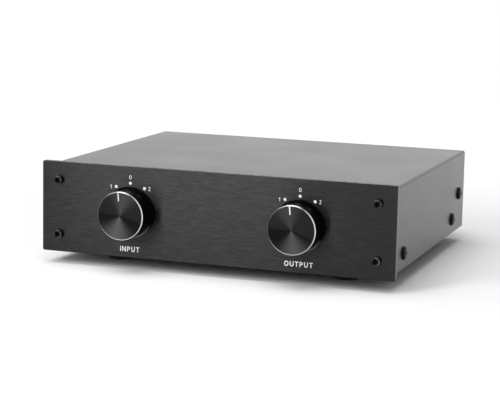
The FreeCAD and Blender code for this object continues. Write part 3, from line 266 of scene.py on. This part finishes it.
def knob_metal(dial):
    """Black anodised knob: spun face, bright cut rim and pointer, polished side, and painted highlights in
    sectors round the axis on the face, rim, side and lip.
    """
    centre = KNOB_CENTRES[dial]
    look = Look(dial + "_knob_metal", IOR=1.5, Anisotropic=0.85, Specular_IOR_Level=0.03)
    local = look.vector("SUBTRACT", look.place, (centre.x, KNOB_FACE, centre.z))
    parts = look.add("ShaderNodeSeparateXYZ")
    look.join(local, parts.inputs[0])
    across, depth, up = parts.outputs
    flat = look.vector("MULTIPLY", local, (1.0, 0.0, 1.0))
    radius = look.vector("LENGTH", flat)

    # the bevel round the face is cut bright
    rim = look.math("MULTIPLY",
                    look.math("GREATER_THAN", radius, KNOB_RADIUS - KNOB_CUT),
                    look.math("LESS_THAN", depth, KNOB_BEVEL - EDGE))
    # and so is the groove of the pointer
    along = look.vector("DOT_PRODUCT", flat, (-math.sin(POINTER_LEAN), 0.0, math.cos(POINTER_LEAN)))
    aside = look.vector("DOT_PRODUCT", flat, (math.cos(POINTER_LEAN), 0.0, math.sin(POINTER_LEAN)))
    in_groove = look.math("MULTIPLY",
                          look.math("LESS_THAN", look.math("ABSOLUTE", aside), POINTER_WIDTH / 2 + 2 * EDGE),
                          look.math("GREATER_THAN", along, POINTER_INNER - POINTER_WIDTH))
    sunk = look.math("MULTIPLY", look.math("GREATER_THAN", depth, 2 * EDGE),
                     look.math("LESS_THAN", depth, POINTER_DEPTH + 2 * EDGE))
    inside = look.math("LESS_THAN", radius, KNOB_RADIUS - KNOB_BEVEL + EDGE)
    pointer = look.math("MULTIPLY", look.math("MULTIPLY", in_groove, sunk), inside)
    bright = look.math("MAXIMUM", rim, pointer)

    # fine rings of the turned face
    on_face = look.math("LESS_THAN", depth, EDGE)
    rings = look.add("ShaderNodeTexNoise", noise_dimensions="1D")
    look.join(look.math("DIVIDE", radius, RING_PITCH), rings.inputs["W"])
    rings.inputs["Scale"].default_value = 1.0
    rings.inputs["Detail"].default_value = 2.0
    ring_height = rings.outputs[0]

    # painted highlights and shade in sectors on the face, the side, the lip and the cut metal
    angle = look.math("ARCTAN2", up, across)
    turning = look.spread(ring_height, 0.75, 1.0)
    face = look.math("MULTIPLY", painted_sectors(look, angle, FACE_LIGHTS[dial], FACE_BLACK), turning)
    fading = look.spread(depth, 1.0, 0.0, KNOB_BEVEL, SIDE_FADE)
    side = look.math("MULTIPLY", painted_sectors(look, angle, SIDE_LIGHTS, 0.0), fading)
    side = look.math("ADD", side, SIDE_BLACK)
    lip_front = KNOB_LENGTH - LIP_THICKNESS
    on_lip = look.math("MULTIPLY",
                       look.math("MULTIPLY", look.math("GREATER_THAN", depth, lip_front - 2 * EDGE),
                                 look.math("LESS_THAN", depth, lip_front + 2 * EDGE)),
                       look.math("GREATER_THAN", radius, KNOB_RADIUS + EDGE))
    # painted highlight on the front of the lip
    side = look.blend(on_lip, side, painted_sectors(look, angle, LIP_LIGHTS, SIDE_BLACK))
    level = look.blend(on_face, side, face)
    # painted highlight sectors on the cut rim and the pointer
    level = look.blend(bright, level, painted_sectors(look, angle, RIM_LIGHTS, RIM_BLACK))
    colour = look.add("ShaderNodeCombineXYZ")
    for socket in colour.inputs:
        look.join(level, socket)
    look.feed("Base Color", colour.outputs[0])
    look.feed("Metallic", bright)
    look.feed("Roughness", look.blend(bright, look.blend(on_face, 0.34, 0.42), 0.28))
    # the grain runs round the axis, at every angle of the knob
    turned = look.add("ShaderNodeVectorTransform", vector_type="VECTOR",
                      convert_from="OBJECT", convert_to="WORLD")
    look.join(look.vector("NORMALIZE", flat), turned.inputs[0])
    look.feed("Tangent", turned.outputs[0])
    look.bump(look.math("MULTIPLY", ring_height, on_face), 0.004 * MM)
    return look.material


def black_screw():
    """Black oxide on steel."""
    look = Look("black_oxide", IOR=1.5, Specular_IOR_Level=0.2)
    grain = look.noise((0.3 * MM,) * 3)
    look.feed("Base Color", look.tint(grain, grey(0.004), grey(0.010)))
    look.feed("Roughness", look.spread(grain, 0.30, 0.45))
    look.bump(grain, 0.004 * MM)
    return look.material


def panel_screw():
    """Black oxide, with a patchy painted highlight round the edge of the head's face, brightest towards the
    upper right.
    """
    look = Look("black_oxide_edge_highlight", IOR=1.5, Specular_IOR_Level=0.05)
    low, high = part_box("front_panel_screws")
    parts = look.add("ShaderNodeSeparateXYZ")
    look.join(look.place, parts.inputs[0])
    across, depth, up = parts.outputs
    height = look.math("SUBTRACT", up, (low.z + high.z) / 2)
    # place of the nearest screw's axis, and from it the place on that head
    axis_x = look.math("MULTIPLY", look.math("SIGN", across), high.x - PANEL_SCREW_HEAD)
    axis_z = look.math("MULTIPLY", look.math("SIGN", height), (high.z - low.z) / 2 - PANEL_SCREW_HEAD)
    aside = look.math("SUBTRACT", across, axis_x)
    rise = look.math("SUBTRACT", height, axis_z)
    radius = look.math("SQRT", look.math("ADD", look.math("MULTIPLY", aside, aside),
                                         look.math("MULTIPLY", rise, rise)))
    # painted highlight, strongest in a broad sector towards the upper right of each head
    most = painted_sectors(look, look.math("ARCTAN2", rise, aside), PANEL_SCREW_LIGHTS, PANEL_SCREW_BLACK)
    front = look.math("LESS_THAN", depth, low.y + PANEL_SCREW_BEVEL)
    ring = look.spread(radius, 0.0, 1.0, PANEL_SCREW_HIGHLIGHT - PANEL_SCREW_BLUR, PANEL_SCREW_HIGHLIGHT)
    highlight_patches = look.spread(look.noise((2.2 * MM,) * 3, detail=1, seed=4), 0.25, 1.0, 0.4, 0.6)
    # the painted highlight lies on the ring at the edge of the head's front, in patches
    edge_highlight = look.math("MULTIPLY", look.math("MULTIPLY", front, ring), look.math("MULTIPLY", highlight_patches, most))
    grain = look.noise((0.5 * MM,) * 3, seed=9)
    look.feed("Base Color", look.tint(edge_highlight, grey(0.003), grey(0.15)))
    look.feed("Roughness", look.spread(grain, 0.30, 0.45))
    look.bump(grain, 0.006 * MM)
    return look.material


def cover_screw():
    """Black oxide, with a patchy painted highlight on the crown of the dome, round its socket."""
    look = Look("black_dome_crown_highlight", IOR=1.5, Specular_IOR_Level=0.12)
    low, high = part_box("cover_screws")
    parts = look.add("ShaderNodeSeparateXYZ")
    look.join(look.place, parts.inputs[0])
    outward = look.math("ABSOLUTE", parts.outputs[0])
    # painted highlight on the crown of the dome round the socket, in patches
    crown = look.spread(outward, 0.0, 1.0, high.x - COVER_SCREW_CROWN, high.x - COVER_SCREW_CROWN / 2)
    highlight_patches = look.spread(look.noise((1.6 * MM,) * 3, detail=1, seed=6), 0.2, 1.0, 0.4, 0.6)
    grain = look.noise((0.5 * MM,) * 3, seed=9)
    look.feed("Base Color", look.tint(look.math("MULTIPLY", crown, highlight_patches), grey(0.002), grey(0.16)))
    look.feed("Roughness", look.spread(grain, 0.25, 0.40))
    look.bump(grain, 0.006 * MM)
    return look.material


def metal(name, dark, light, rough, smooth):
    """Plain or plated metal with a fine grain."""
    look = Look(name, Metallic=1.0)
    speck = look.noise((0.4 * MM,) * 3)
    look.feed("Base Color", look.tint(speck, dark, light))
    look.feed("Roughness", look.spread(speck, smooth, rough))
    look.bump(speck, 0.002 * MM)
    return look.material


def plastic(name, dark, light, rough, smooth):
    """Moulded plastic with a faint flow pattern."""
    look = Look(name, IOR=1.5)
    flow = look.noise((3 * MM, 6 * MM, 3 * MM))
    pores = look.noise((0.2 * MM,) * 3, seed=2)
    look.feed("Base Color", look.tint(flow, dark, light))
    look.feed("Roughness", look.spread(pores, smooth, rough))
    look.bump(pores, 0.003 * MM)
    return look.material


def rubber():
    """Matt black rubber of the feet."""
    look = Look("foot_rubber", IOR=1.5)
    pores = look.noise((0.35 * MM,) * 3)
    look.feed("Base Color", look.tint(pores, grey(0.010), grey(0.020)))
    look.feed("Roughness", look.spread(pores, 0.65, 0.85))
    look.bump(pores, 0.03 * MM)
    return look.material


def wafer_board():
    """Brown laminate with its paper fibres."""
    look = Look("wafer_laminate", IOR=1.5)
    fibres = look.noise((4 * MM, 0.2 * MM, 0.5 * MM))
    look.feed("Base Color", look.tint(fibres, (0.16, 0.065, 0.022), (0.33, 0.15, 0.055)))
    look.feed("Roughness", look.spread(fibres, 0.35, 0.5))
    look.bump(fibres, 0.01 * MM)
    return look.material


def marking_paint():
    """White screen printing."""
    look = Look("white_print", IOR=1.45)
    speck = look.noise((0.15 * MM,) * 3)
    look.feed("Base Color", look.tint(speck, grey(0.82), grey(0.92)))
    look.feed("Roughness", look.spread(speck, 0.45, 0.6))
    return look.material


def dress_frame():
    """Give each CAD node the material of its slot."""
    slots = {
        "anodised_panel": brushed_panel(),
        "painted_case": satin_paint(),
        "black_screw": black_screw(),
        "zinc_steel": metal("zinc_plate", (0.50, 0.50, 0.48), (0.62, 0.62, 0.60), 0.42, 0.28),
        "spring_steel": metal("spring_steel", (0.42, 0.42, 0.43), (0.55, 0.55, 0.56), 0.34, 0.22),
        "plated_brass": metal("gold_plate", (0.78, 0.55, 0.22), (0.90, 0.68, 0.32), 0.26, 0.14),
        "foot_rubber": rubber(),
        "red_plastic": plastic("red_plastic", (0.36, 0.010, 0.012), (0.46, 0.016, 0.018), 0.22, 0.12),
        "black_plastic": plastic("black_plastic", grey(0.012), grey(0.020), 0.24, 0.13),
        "red_insulation": plastic("red_insulation", (0.34, 0.012, 0.012), (0.42, 0.02, 0.02), 0.5, 0.4),
        "black_insulation": plastic("black_insulation", grey(0.014), grey(0.022), 0.5, 0.4),
        "wafer_board": wafer_board(),
        "rotor_plastic": plastic("rotor_plastic", (0.62, 0.61, 0.57), (0.72, 0.71, 0.66), 0.45, 0.35),
    }
    for entry in frame["record"]["subparts"]:
        name = entry["node"]
        if entry["material_slot"] == "anodised_knob":
            chosen = knob_metal(name.removesuffix("_knob"))
        elif name == "front_panel_screws":
            chosen = panel_screw()
        elif name == "cover_screws":
            chosen = cover_screw()
        else:
            chosen = slots[entry["material_slot"]]
        node = frame["nodes"][name]
        node.data.materials.clear()
        node.data.materials.append(chosen)


# ---------------------------------------------------------------------------
# Printed markings
# ---------------------------------------------------------------------------
PAINT = marking_paint()
PRINT_THICKNESS = 0.04 * MM
FRONT, REAR = 1, -1          # which way a marking faces: -Y or +Y


def lay_on(piece, x, z, side):
    """Stand a flat piece up on the front or the rear face of the box."""
    face = PANEL_FACE if side == FRONT else REAR_FACE
    turn = Matrix.Rotation(math.radians(90), 4, "X")
    if side == REAR:
        turn = Matrix.Rotation(math.radians(180), 4, "Z") @ turn
    piece.matrix_world = Matrix.Translation((x, face, z)) @ turn
    piece.data.materials.append(PAINT)
    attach(piece, "case")


# Widths and shapes of the letters, as shares of a capital's height
LETTER_GAP = 0.23            # between letters
WORD_GAP = 0.34
HALFWAY = 0.5                # up a capital
L_FOOT = 0.54                # length of the foot of L
N_WIDTH = 0.78
N_NOTCH = 0.32               # where the leaning stroke of N leaves its stems
T_WIDTH = 0.70
O_WIDTH = 0.86
ZERO_WIDTH = 0.68
BOWL = 0.30                  # radius of the bowl of P and R
BOWL_FOOT = 0.40             # lower edge of that bowl
BOWL_FLAT = 0.34             # how far it runs straight
LEG_START = 0.26             # where the leg of R leaves the bowl
LEG_OVERHANG = 0.04          # how far the leg's foot stands out past the bowl
CUP = 0.38                   # radius of the cup of U
ONE_WIDTH = 0.34
ONE_FLAG = 0.80              # height of the flag of 1
ONE_THROAT = 0.76            # where the flag meets the stem below
TWO_HOOK = 0.27              # radius of the top of 2
TWO_START, TWO_END = 165, -35    # degrees that the top of 2 goes round
PLUS_REACH = 0.30            # arm of +
MINUS_WIDTH = 0.50
# and as shares of the stroke
STROKE_LEAN = 1.2            # width of a leaning stroke along the baseline
ONE_TOP = 0.8                # flat top of 1
TWO_TOE = 0.75               # height of the outer end of the foot of 2


def arc(x, y, across, up, start, end, steps=12):
    """Points along part of an oval, from one angle to another in degrees."""
    turns = [math.radians(start + (end - start) * step / steps) for step in range(steps + 1)]
    return [(x + across * math.cos(turn), y + up * math.sin(turn)) for turn in turns]


def round_letter(width, stroke):
    """O or 0: the outer loop and the hole, one point in 15 degrees."""
    outer = arc(width / 2, HALFWAY, width / 2, HALFWAY, 0, 345, 23)
    hole = arc(width / 2, HALFWAY, width / 2 - stroke, HALFWAY - stroke, 0, 345, 23)
    return width, [outer, hole]


def four_corners(left, low, right, high):
    """A loop with four corners."""
    return [(left, low), (right, low), (right, high), (left, high)]


# One function a sign: for strokes t thick it gives the sign's width and its loops
def letter_n(t):
    inner = N_WIDTH - t
    return N_WIDTH, [[(0, 0), (t, 0), (t, 1 - N_NOTCH), (inner, 0), (N_WIDTH, 0),
                      (N_WIDTH, 1), (inner, 1), (inner, N_NOTCH), (t, 1), (0, 1)]]


def letter_p(t, leg=()):
    """P, or R when its leg is given."""
    rise = BOWL_FOOT + BOWL
    outside = arc(BOWL_FLAT, rise, BOWL, BOWL, -90, 90) + [(0, 1)]
    hole = [(t, BOWL_FOOT + t)] + arc(BOWL_FLAT, rise, BOWL - t, BOWL - t, -90, 90) + [(t, 1 - t)]
    return BOWL_FLAT + BOWL, [[(0, 0), (t, 0), (t, BOWL_FOOT), *leg] + outside, hole]


def letter_r(t):
    lean = STROKE_LEAN * t
    width = BOWL_FLAT + BOWL + LEG_OVERHANG
    leg = [(LEG_START, BOWL_FOOT), (width - lean, 0), (width, 0), (LEG_START + lean, BOWL_FOOT)]
    return width, letter_p(t, leg)[1]


def letter_t(t):
    left, right = (T_WIDTH - t) / 2, (T_WIDTH + t) / 2
    return T_WIDTH, [[(left, 0), (right, 0), (right, 1 - t), (T_WIDTH, 1 - t),
                      (T_WIDTH, 1), (0, 1), (0, 1 - t), (left, 1 - t)]]


def letter_u(t):
    width = 2 * CUP
    outside = arc(CUP, CUP, CUP, CUP, 180, 360) + [(width, 1), (width - t, 1)]
    inside = arc(CUP, CUP, CUP - t, CUP - t, 360, 180) + [(t, 1)]
    return width, [[(0, 1)] + outside + inside]


def number_one(t):
    stem = ONE_WIDTH - t
    return ONE_WIDTH, [[(stem, 0), (ONE_WIDTH, 0), (ONE_WIDTH, 1), (ONE_WIDTH - ONE_TOP * t, 1),
                        (0, ONE_FLAG), (0, ONE_FLAG - t), (stem, ONE_THROAT)]]


def number_two(t):
    width = 2 * TWO_HOOK
    rise = 1 - TWO_HOOK
    outside = arc(TWO_HOOK, rise, TWO_HOOK, TWO_HOOK, TWO_START, TWO_END)
    inside = arc(TWO_HOOK, rise, TWO_HOOK - t, TWO_HOOK - t, TWO_END, TWO_START)
    foot = [(STROKE_LEAN * t, t), (width, t), (width, 0), (0, 0), (0, TWO_TOE * t)]
    return width, [outside + foot + inside]


def plus(t):
    """Its outline is one loop, so that the arms don't overlap."""
    low, high = HALFWAY - t / 2, HALFWAY + t / 2
    left, right = PLUS_REACH - t / 2, PLUS_REACH + t / 2
    bottom, top, width = HALFWAY - PLUS_REACH, HALFWAY + PLUS_REACH, 2 * PLUS_REACH
    return width, [[(0, low), (left, low), (left, bottom), (right, bottom), (right, low), (width, low),
                    (width, high), (right, high), (right, top), (left, top), (left, high), (0, high)]]


def alphabet(t):
    """Plain letters 1 high with strokes t thick: each sign's width and its loops."""
    return {
        " ": (WORD_GAP, []),
        "I": (t, [four_corners(0, 0, t, 1)]),
        "L": (L_FOOT, [[(0, 0), (L_FOOT, 0), (L_FOOT, t), (t, t), (t, 1), (0, 1)]]),
        "N": letter_n(t),
        "O": round_letter(O_WIDTH, t),
        "P": letter_p(t),
        "R": letter_r(t),
        "T": letter_t(t),
        "U": letter_u(t),
        "0": round_letter(ZERO_WIDTH, t),
        "1": number_one(t),
        "2": number_two(t),
        "+": plus(t),
        "-": (MINUS_WIDTH, [four_corners(0, HALFWAY - t / 2, MINUS_WIDTH, HALFWAY + t / 2)]),
    }


def lettering(name, words, x, z, height, stroke, side=FRONT):
    """Printed words, centred at x and z, with capitals of the given height."""
    signs = alphabet(stroke)
    width = sum(signs[sign][0] for sign in words) + LETTER_GAP * (len(words) - 1)
    shape = bpy.data.curves.new(name, "CURVE")
    shape.dimensions = "2D"
    shape.fill_mode = "BOTH"
    shape.extrude = PRINT_THICKNESS / 2
    start = -width / 2
    for sign in words:
        for loop in signs[sign][1]:
            line = shape.splines.new("POLY")
            line.points.add(len(loop) - 1)
            for point, (across, up) in zip(line.points, loop):
                point.co = ((start + across) * height, (up - HALFWAY) * height, 0.0, 1.0)
            line.use_cyclic_u = True
        start += signs[sign][0] + LETTER_GAP
    shaper = bpy.data.objects.new(name + "_shaper", shape)
    bpy.context.scene.collection.objects.link(shaper)
    bpy.context.view_layer.update()
    mesh = bpy.data.meshes.new_from_object(shaper.evaluated_get(bpy.context.evaluated_depsgraph_get()))
    bpy.data.objects.remove(shaper)
    mesh.transform(Matrix.Translation((0, 0, PRINT_THICKNESS / 2)))
    piece = bpy.data.objects.new(name, mesh)
    bpy.context.scene.collection.objects.link(piece)
    lay_on(piece, x, z, side)
    return piece


def dot(name, x, z, radius):
    """Printed spot on the front."""
    corners = 32
    turns = [2 * math.pi * corner / corners for corner in range(corners)]
    points = [(radius * math.cos(turn), radius * math.sin(turn), level)
              for level in (0, PRINT_THICKNESS) for turn in turns]
    faces = [list(range(corners))[::-1], [corners + i for i in range(corners)]]
    faces += [[i, (i + 1) % corners, corners + (i + 1) % corners, corners + i] for i in range(corners)]
    mesh = bpy.data.meshes.new(name)
    mesh.from_pydata(points, [], faces)
    piece = bpy.data.objects.new(name, mesh)
    bpy.context.scene.collection.objects.link(piece)
    lay_on(piece, x, z, FRONT)
    return piece


DOT_CIRCLE = 19.05 * MM
DOT_RADIUS = 1.0 * MM
DOT_STEP = math.radians(31.4)    # printed a little wider than the switch's 30 degrees
NUMBER_HEIGHT = 2.5 * MM
NUMBER_STROKE = 0.13         # as a share of the height
# Each number, its dot's steps from the top, and its own middle from that dot
NUMBER_PLACES = (("1", -1, -3.7 * MM, -0.2 * MM), ("0", 0, 0.0, 3.95 * MM), ("2", 1, 3.4 * MM, 0.0))
LABEL_HEIGHT = 3.4 * MM
LABEL_STROKE = 0.18          # as a share of the height
LABEL_RISE = 5.6 * MM        # middle of a label above the panel's lower edge


def front_markings():
    """Dots and numbers round each knob and the word below it."""
    pieces = []
    for dial, label in zip(DIALS, ("INPUT", "OUTPUT")):
        x = KNOB_CENTRES[dial].x
        for number, turn, shift_x, shift_z in NUMBER_PLACES:
            dot_x = x + DOT_CIRCLE * math.sin(turn * DOT_STEP)
            dot_z = PANEL_MIDDLE + DOT_CIRCLE * math.cos(turn * DOT_STEP)
            pieces.append(dot("%s_dot_%s" % (dial, number), dot_x, dot_z, DOT_RADIUS))
            pieces.append(lettering("%s_number_%s" % (dial, number), number, dot_x + shift_x,
                                    dot_z + shift_z, NUMBER_HEIGHT, NUMBER_STROKE))
        pieces.append(lettering(dial + "_label", label, x, PANEL_LOW.z + LABEL_RISE,
                                LABEL_HEIGHT, LABEL_STROKE))
    return pieces


GROUPS = (("amplifier_1", "IN 1"), ("amplifier_2", "IN 2"), ("speaker_1", "OUT 1"), ("speaker_2", "OUT 2"))
REAR_HEIGHT = 2.8 * MM
REAR_STROKE = 0.18           # as a share of the height
SIDE_MARK_DROP = 3.4 * MM    # middle of the letters for left and right below the panel's top
GROUP_LABEL_RISE = 3.6 * MM  # middle of a group's label above the panel's lower edge


def rear_markings():
    """Names of the groups and signs between the terminals, read from behind."""
    top = REAR_HIGH.z - SIDE_MARK_DROP
    low = REAR_LOW.z + GROUP_LABEL_RISE
    for group, label in GROUPS:
        left, right = middle(group + "_left_red_cap"), middle(group + "_right_red_cap")
        black = middle(group + "_left_black_cap")
        x = (left.x + right.x) / 2
        lettering(group + "_rear_label", label, x, low, REAR_HEIGHT, REAR_STROKE, REAR)
        lettering(group + "_left_mark", "L", left.x, top, REAR_HEIGHT, REAR_STROKE, REAR)
        lettering(group + "_right_mark", "R", right.x, top, REAR_HEIGHT, REAR_STROKE, REAR)
        for name, mark, z in (("plus", "+", left.z), ("minus", "-", black.z)):
            lettering("%s_%s" % (group, name), mark, x, z, REAR_HEIGHT, REAR_STROKE, REAR)


# ---------------------------------------------------------------------------
# Studio
# ---------------------------------------------------------------------------
AMBIENT = 0.40       # light of the world on matt surfaces; camera and gloss see white
KEY_LIGHT = 0.46     # light of the key lamp on the floor, as a share of white
KEY_SPREAD = 50      # degrees across
KEY_FROM = Vector((-0.14, -0.12, 1.0))
FLOOR_WHITE = (0.98, 0.98, 0.98, 1.0)
FLOOR_LIFT = 0.17    # painted glow that the floor gives the eye, growing away from the box; none near the box, so the floor is darker there
NEAR, FAR = 0.05, 0.38    # metres outside the box where that begins and is full


def seen_by_eye(tree):
    """1 for camera, glossy and transmission rays."""
    path = tree.nodes.new("ShaderNodeLightPath")
    seen = path.outputs["Is Camera Ray"]
    for ray in ("Is Glossy Ray", "Is Transmission Ray"):
        either = tree.nodes.new("ShaderNodeMath")
        either.operation = "MAXIMUM"
        tree.links.new(seen, either.inputs[0])
        tree.links.new(path.outputs[ray], either.inputs[1])
        seen = either.outputs[0]
    return seen


def floor():
    """White ground with a painted glow for the eye that grows away from the box, so that the floor is darker
    near the box.
    """
    reach = 12.0
    corners = [(-reach, -reach, 0), (reach, -reach, 0), (reach, reach, 0), (-reach, reach, 0)]
    mesh = bpy.data.meshes.new("floor")
    mesh.from_pydata(corners, [], [(0, 1, 2, 3)])
    plane = bpy.data.objects.new("floor", mesh)
    bpy.context.scene.collection.objects.link(plane)
    look = Look("floor_white", Roughness=0.9, Specular_IOR_Level=0.0)
    look.shader.inputs["Base Color"].default_value = FLOOR_WHITE
    look.shader.inputs["Emission Color"].default_value = (1.0, 1.0, 1.0, 1.0)
    outside = look.vector("SUBTRACT", look.vector("ABSOLUTE", look.place), (PANEL_HIGH.x, -PANEL_FACE, 0.0))
    away = look.vector("LENGTH", look.vector("MAXIMUM", outside, (0.0, 0.0, 0.0)))
    # painted glow: none near the box, growing to full away from it
    lift = look.spread(away, 0.0, FLOOR_LIFT, NEAR, FAR)
    look.feed("Emission Strength", look.math("MULTIPLY", seen_by_eye(look.tree), lift))
    plane.data.materials.append(look.material)
    return plane


def key_lamp():
    """Wide soft light from above."""
    data = bpy.data.lights.new("key", "SUN")
    data.angle = math.radians(KEY_SPREAD)
    data.energy = KEY_LIGHT * math.pi / KEY_FROM.normalized().z
    light = bpy.data.objects.new("key", data)
    light.rotation_mode = "QUATERNION"
    light.rotation_quaternion = (-KEY_FROM).to_track_quat("-Z", "Y")
    bpy.context.scene.collection.objects.link(light)


STRIP_PLACE = Vector((-0.234, -0.62, 0.32))
STRIP_TARGET = Vector((-0.03, -0.105, 0.04))
STRIP_SIZE = (0.235, 0.40)
STRIP_POWER = 2.2            # watts
FRONT_NODES = ["front_panel", "front_panel_screws"] + [dial + "_knob" for dial in DIALS]


def strip_lamp(others):
    """Long lamp at the front left that draws out the brushed grain.

    It lights the front's nodes and the other pieces given, and so leaves no glare on the cover.
    """
    data = bpy.data.lights.new("grain_strip", "AREA")
    data.shape = "RECTANGLE"
    data.size, data.size_y = STRIP_SIZE
    data.energy = STRIP_POWER
    light = bpy.data.objects.new("grain_strip", data)
    light.location = STRIP_PLACE
    light.rotation_mode = "QUATERNION"
    light.rotation_quaternion = (STRIP_TARGET - STRIP_PLACE).to_track_quat("-Z", "Y")
    light.visible_camera = False
    lit = bpy.data.collections.new("lit_by_strip")
    for piece in [frame["nodes"][name] for name in FRONT_NODES] + others:
        lit.objects.link(piece)
    light.light_linking.receiver_collection = lit
    bpy.context.scene.collection.objects.link(light)


def world():
    """White to the eye and in mirror images, dimmer as the light on matt surfaces."""
    sky = bpy.data.worlds.new("studio")
    bpy.context.scene.world = sky
    sky.use_nodes = True
    tree = sky.node_tree
    tree.nodes.clear()
    output = tree.nodes.new("ShaderNodeOutputWorld")
    mixer = tree.nodes.new("ShaderNodeMixShader")
    tree.links.new(seen_by_eye(tree), mixer.inputs[0])
    for index, level in enumerate((AMBIENT, 1.0), start=1):
        shade = tree.nodes.new("ShaderNodeBackground")
        shade.inputs["Color"].default_value = (1, 1, 1, 1)
        shade.inputs["Strength"].default_value = level
        tree.links.new(shade.outputs[0], mixer.inputs[index])
    tree.links.new(mixer.outputs[0], output.inputs[0])


# Camera, fitted to the photograph
CAMERA_PLACE = Vector((372.3, -1100.4, 225.1)) * MM
CAMERA_AZIMUTH = math.radians(19.26)
CAMERA_ELEVATION = math.radians(9.52)
CAMERA_ROLL = math.radians(1.21)
FOCAL_LENGTH = 121.68        # mm, on the usual sensor
SENSOR_WIDTH = 36            # mm


def camera():
    """Camera with the photograph's view."""
    data = bpy.data.cameras.new("camera")
    data.lens = FOCAL_LENGTH
    data.sensor_width = SENSOR_WIDTH
    data.clip_end = 50
    eye = bpy.data.objects.new("camera", data)
    flat = math.cos(CAMERA_ELEVATION)
    towards = Vector((-math.sin(CAMERA_AZIMUTH) * flat, math.cos(CAMERA_AZIMUTH) * flat,
                      -math.sin(CAMERA_ELEVATION)))
    level = towards.to_track_quat("-Z", "Y").to_matrix().to_4x4()
    eye.matrix_world = Matrix.Translation(CAMERA_PLACE) @ level @ Matrix.Rotation(CAMERA_ROLL, 4, "Z")
    bpy.context.scene.collection.objects.link(eye)
    bpy.context.scene.camera = eye


# ---------------------------------------------------------------------------
# The scene
# ---------------------------------------------------------------------------
dress_frame()
front_print = front_markings()
rear_markings()
ground = floor()
world()
key_lamp()
strip_lamp(front_print + [ground])
camera()
bpy.context.scene.view_settings.view_transform = "Standard"
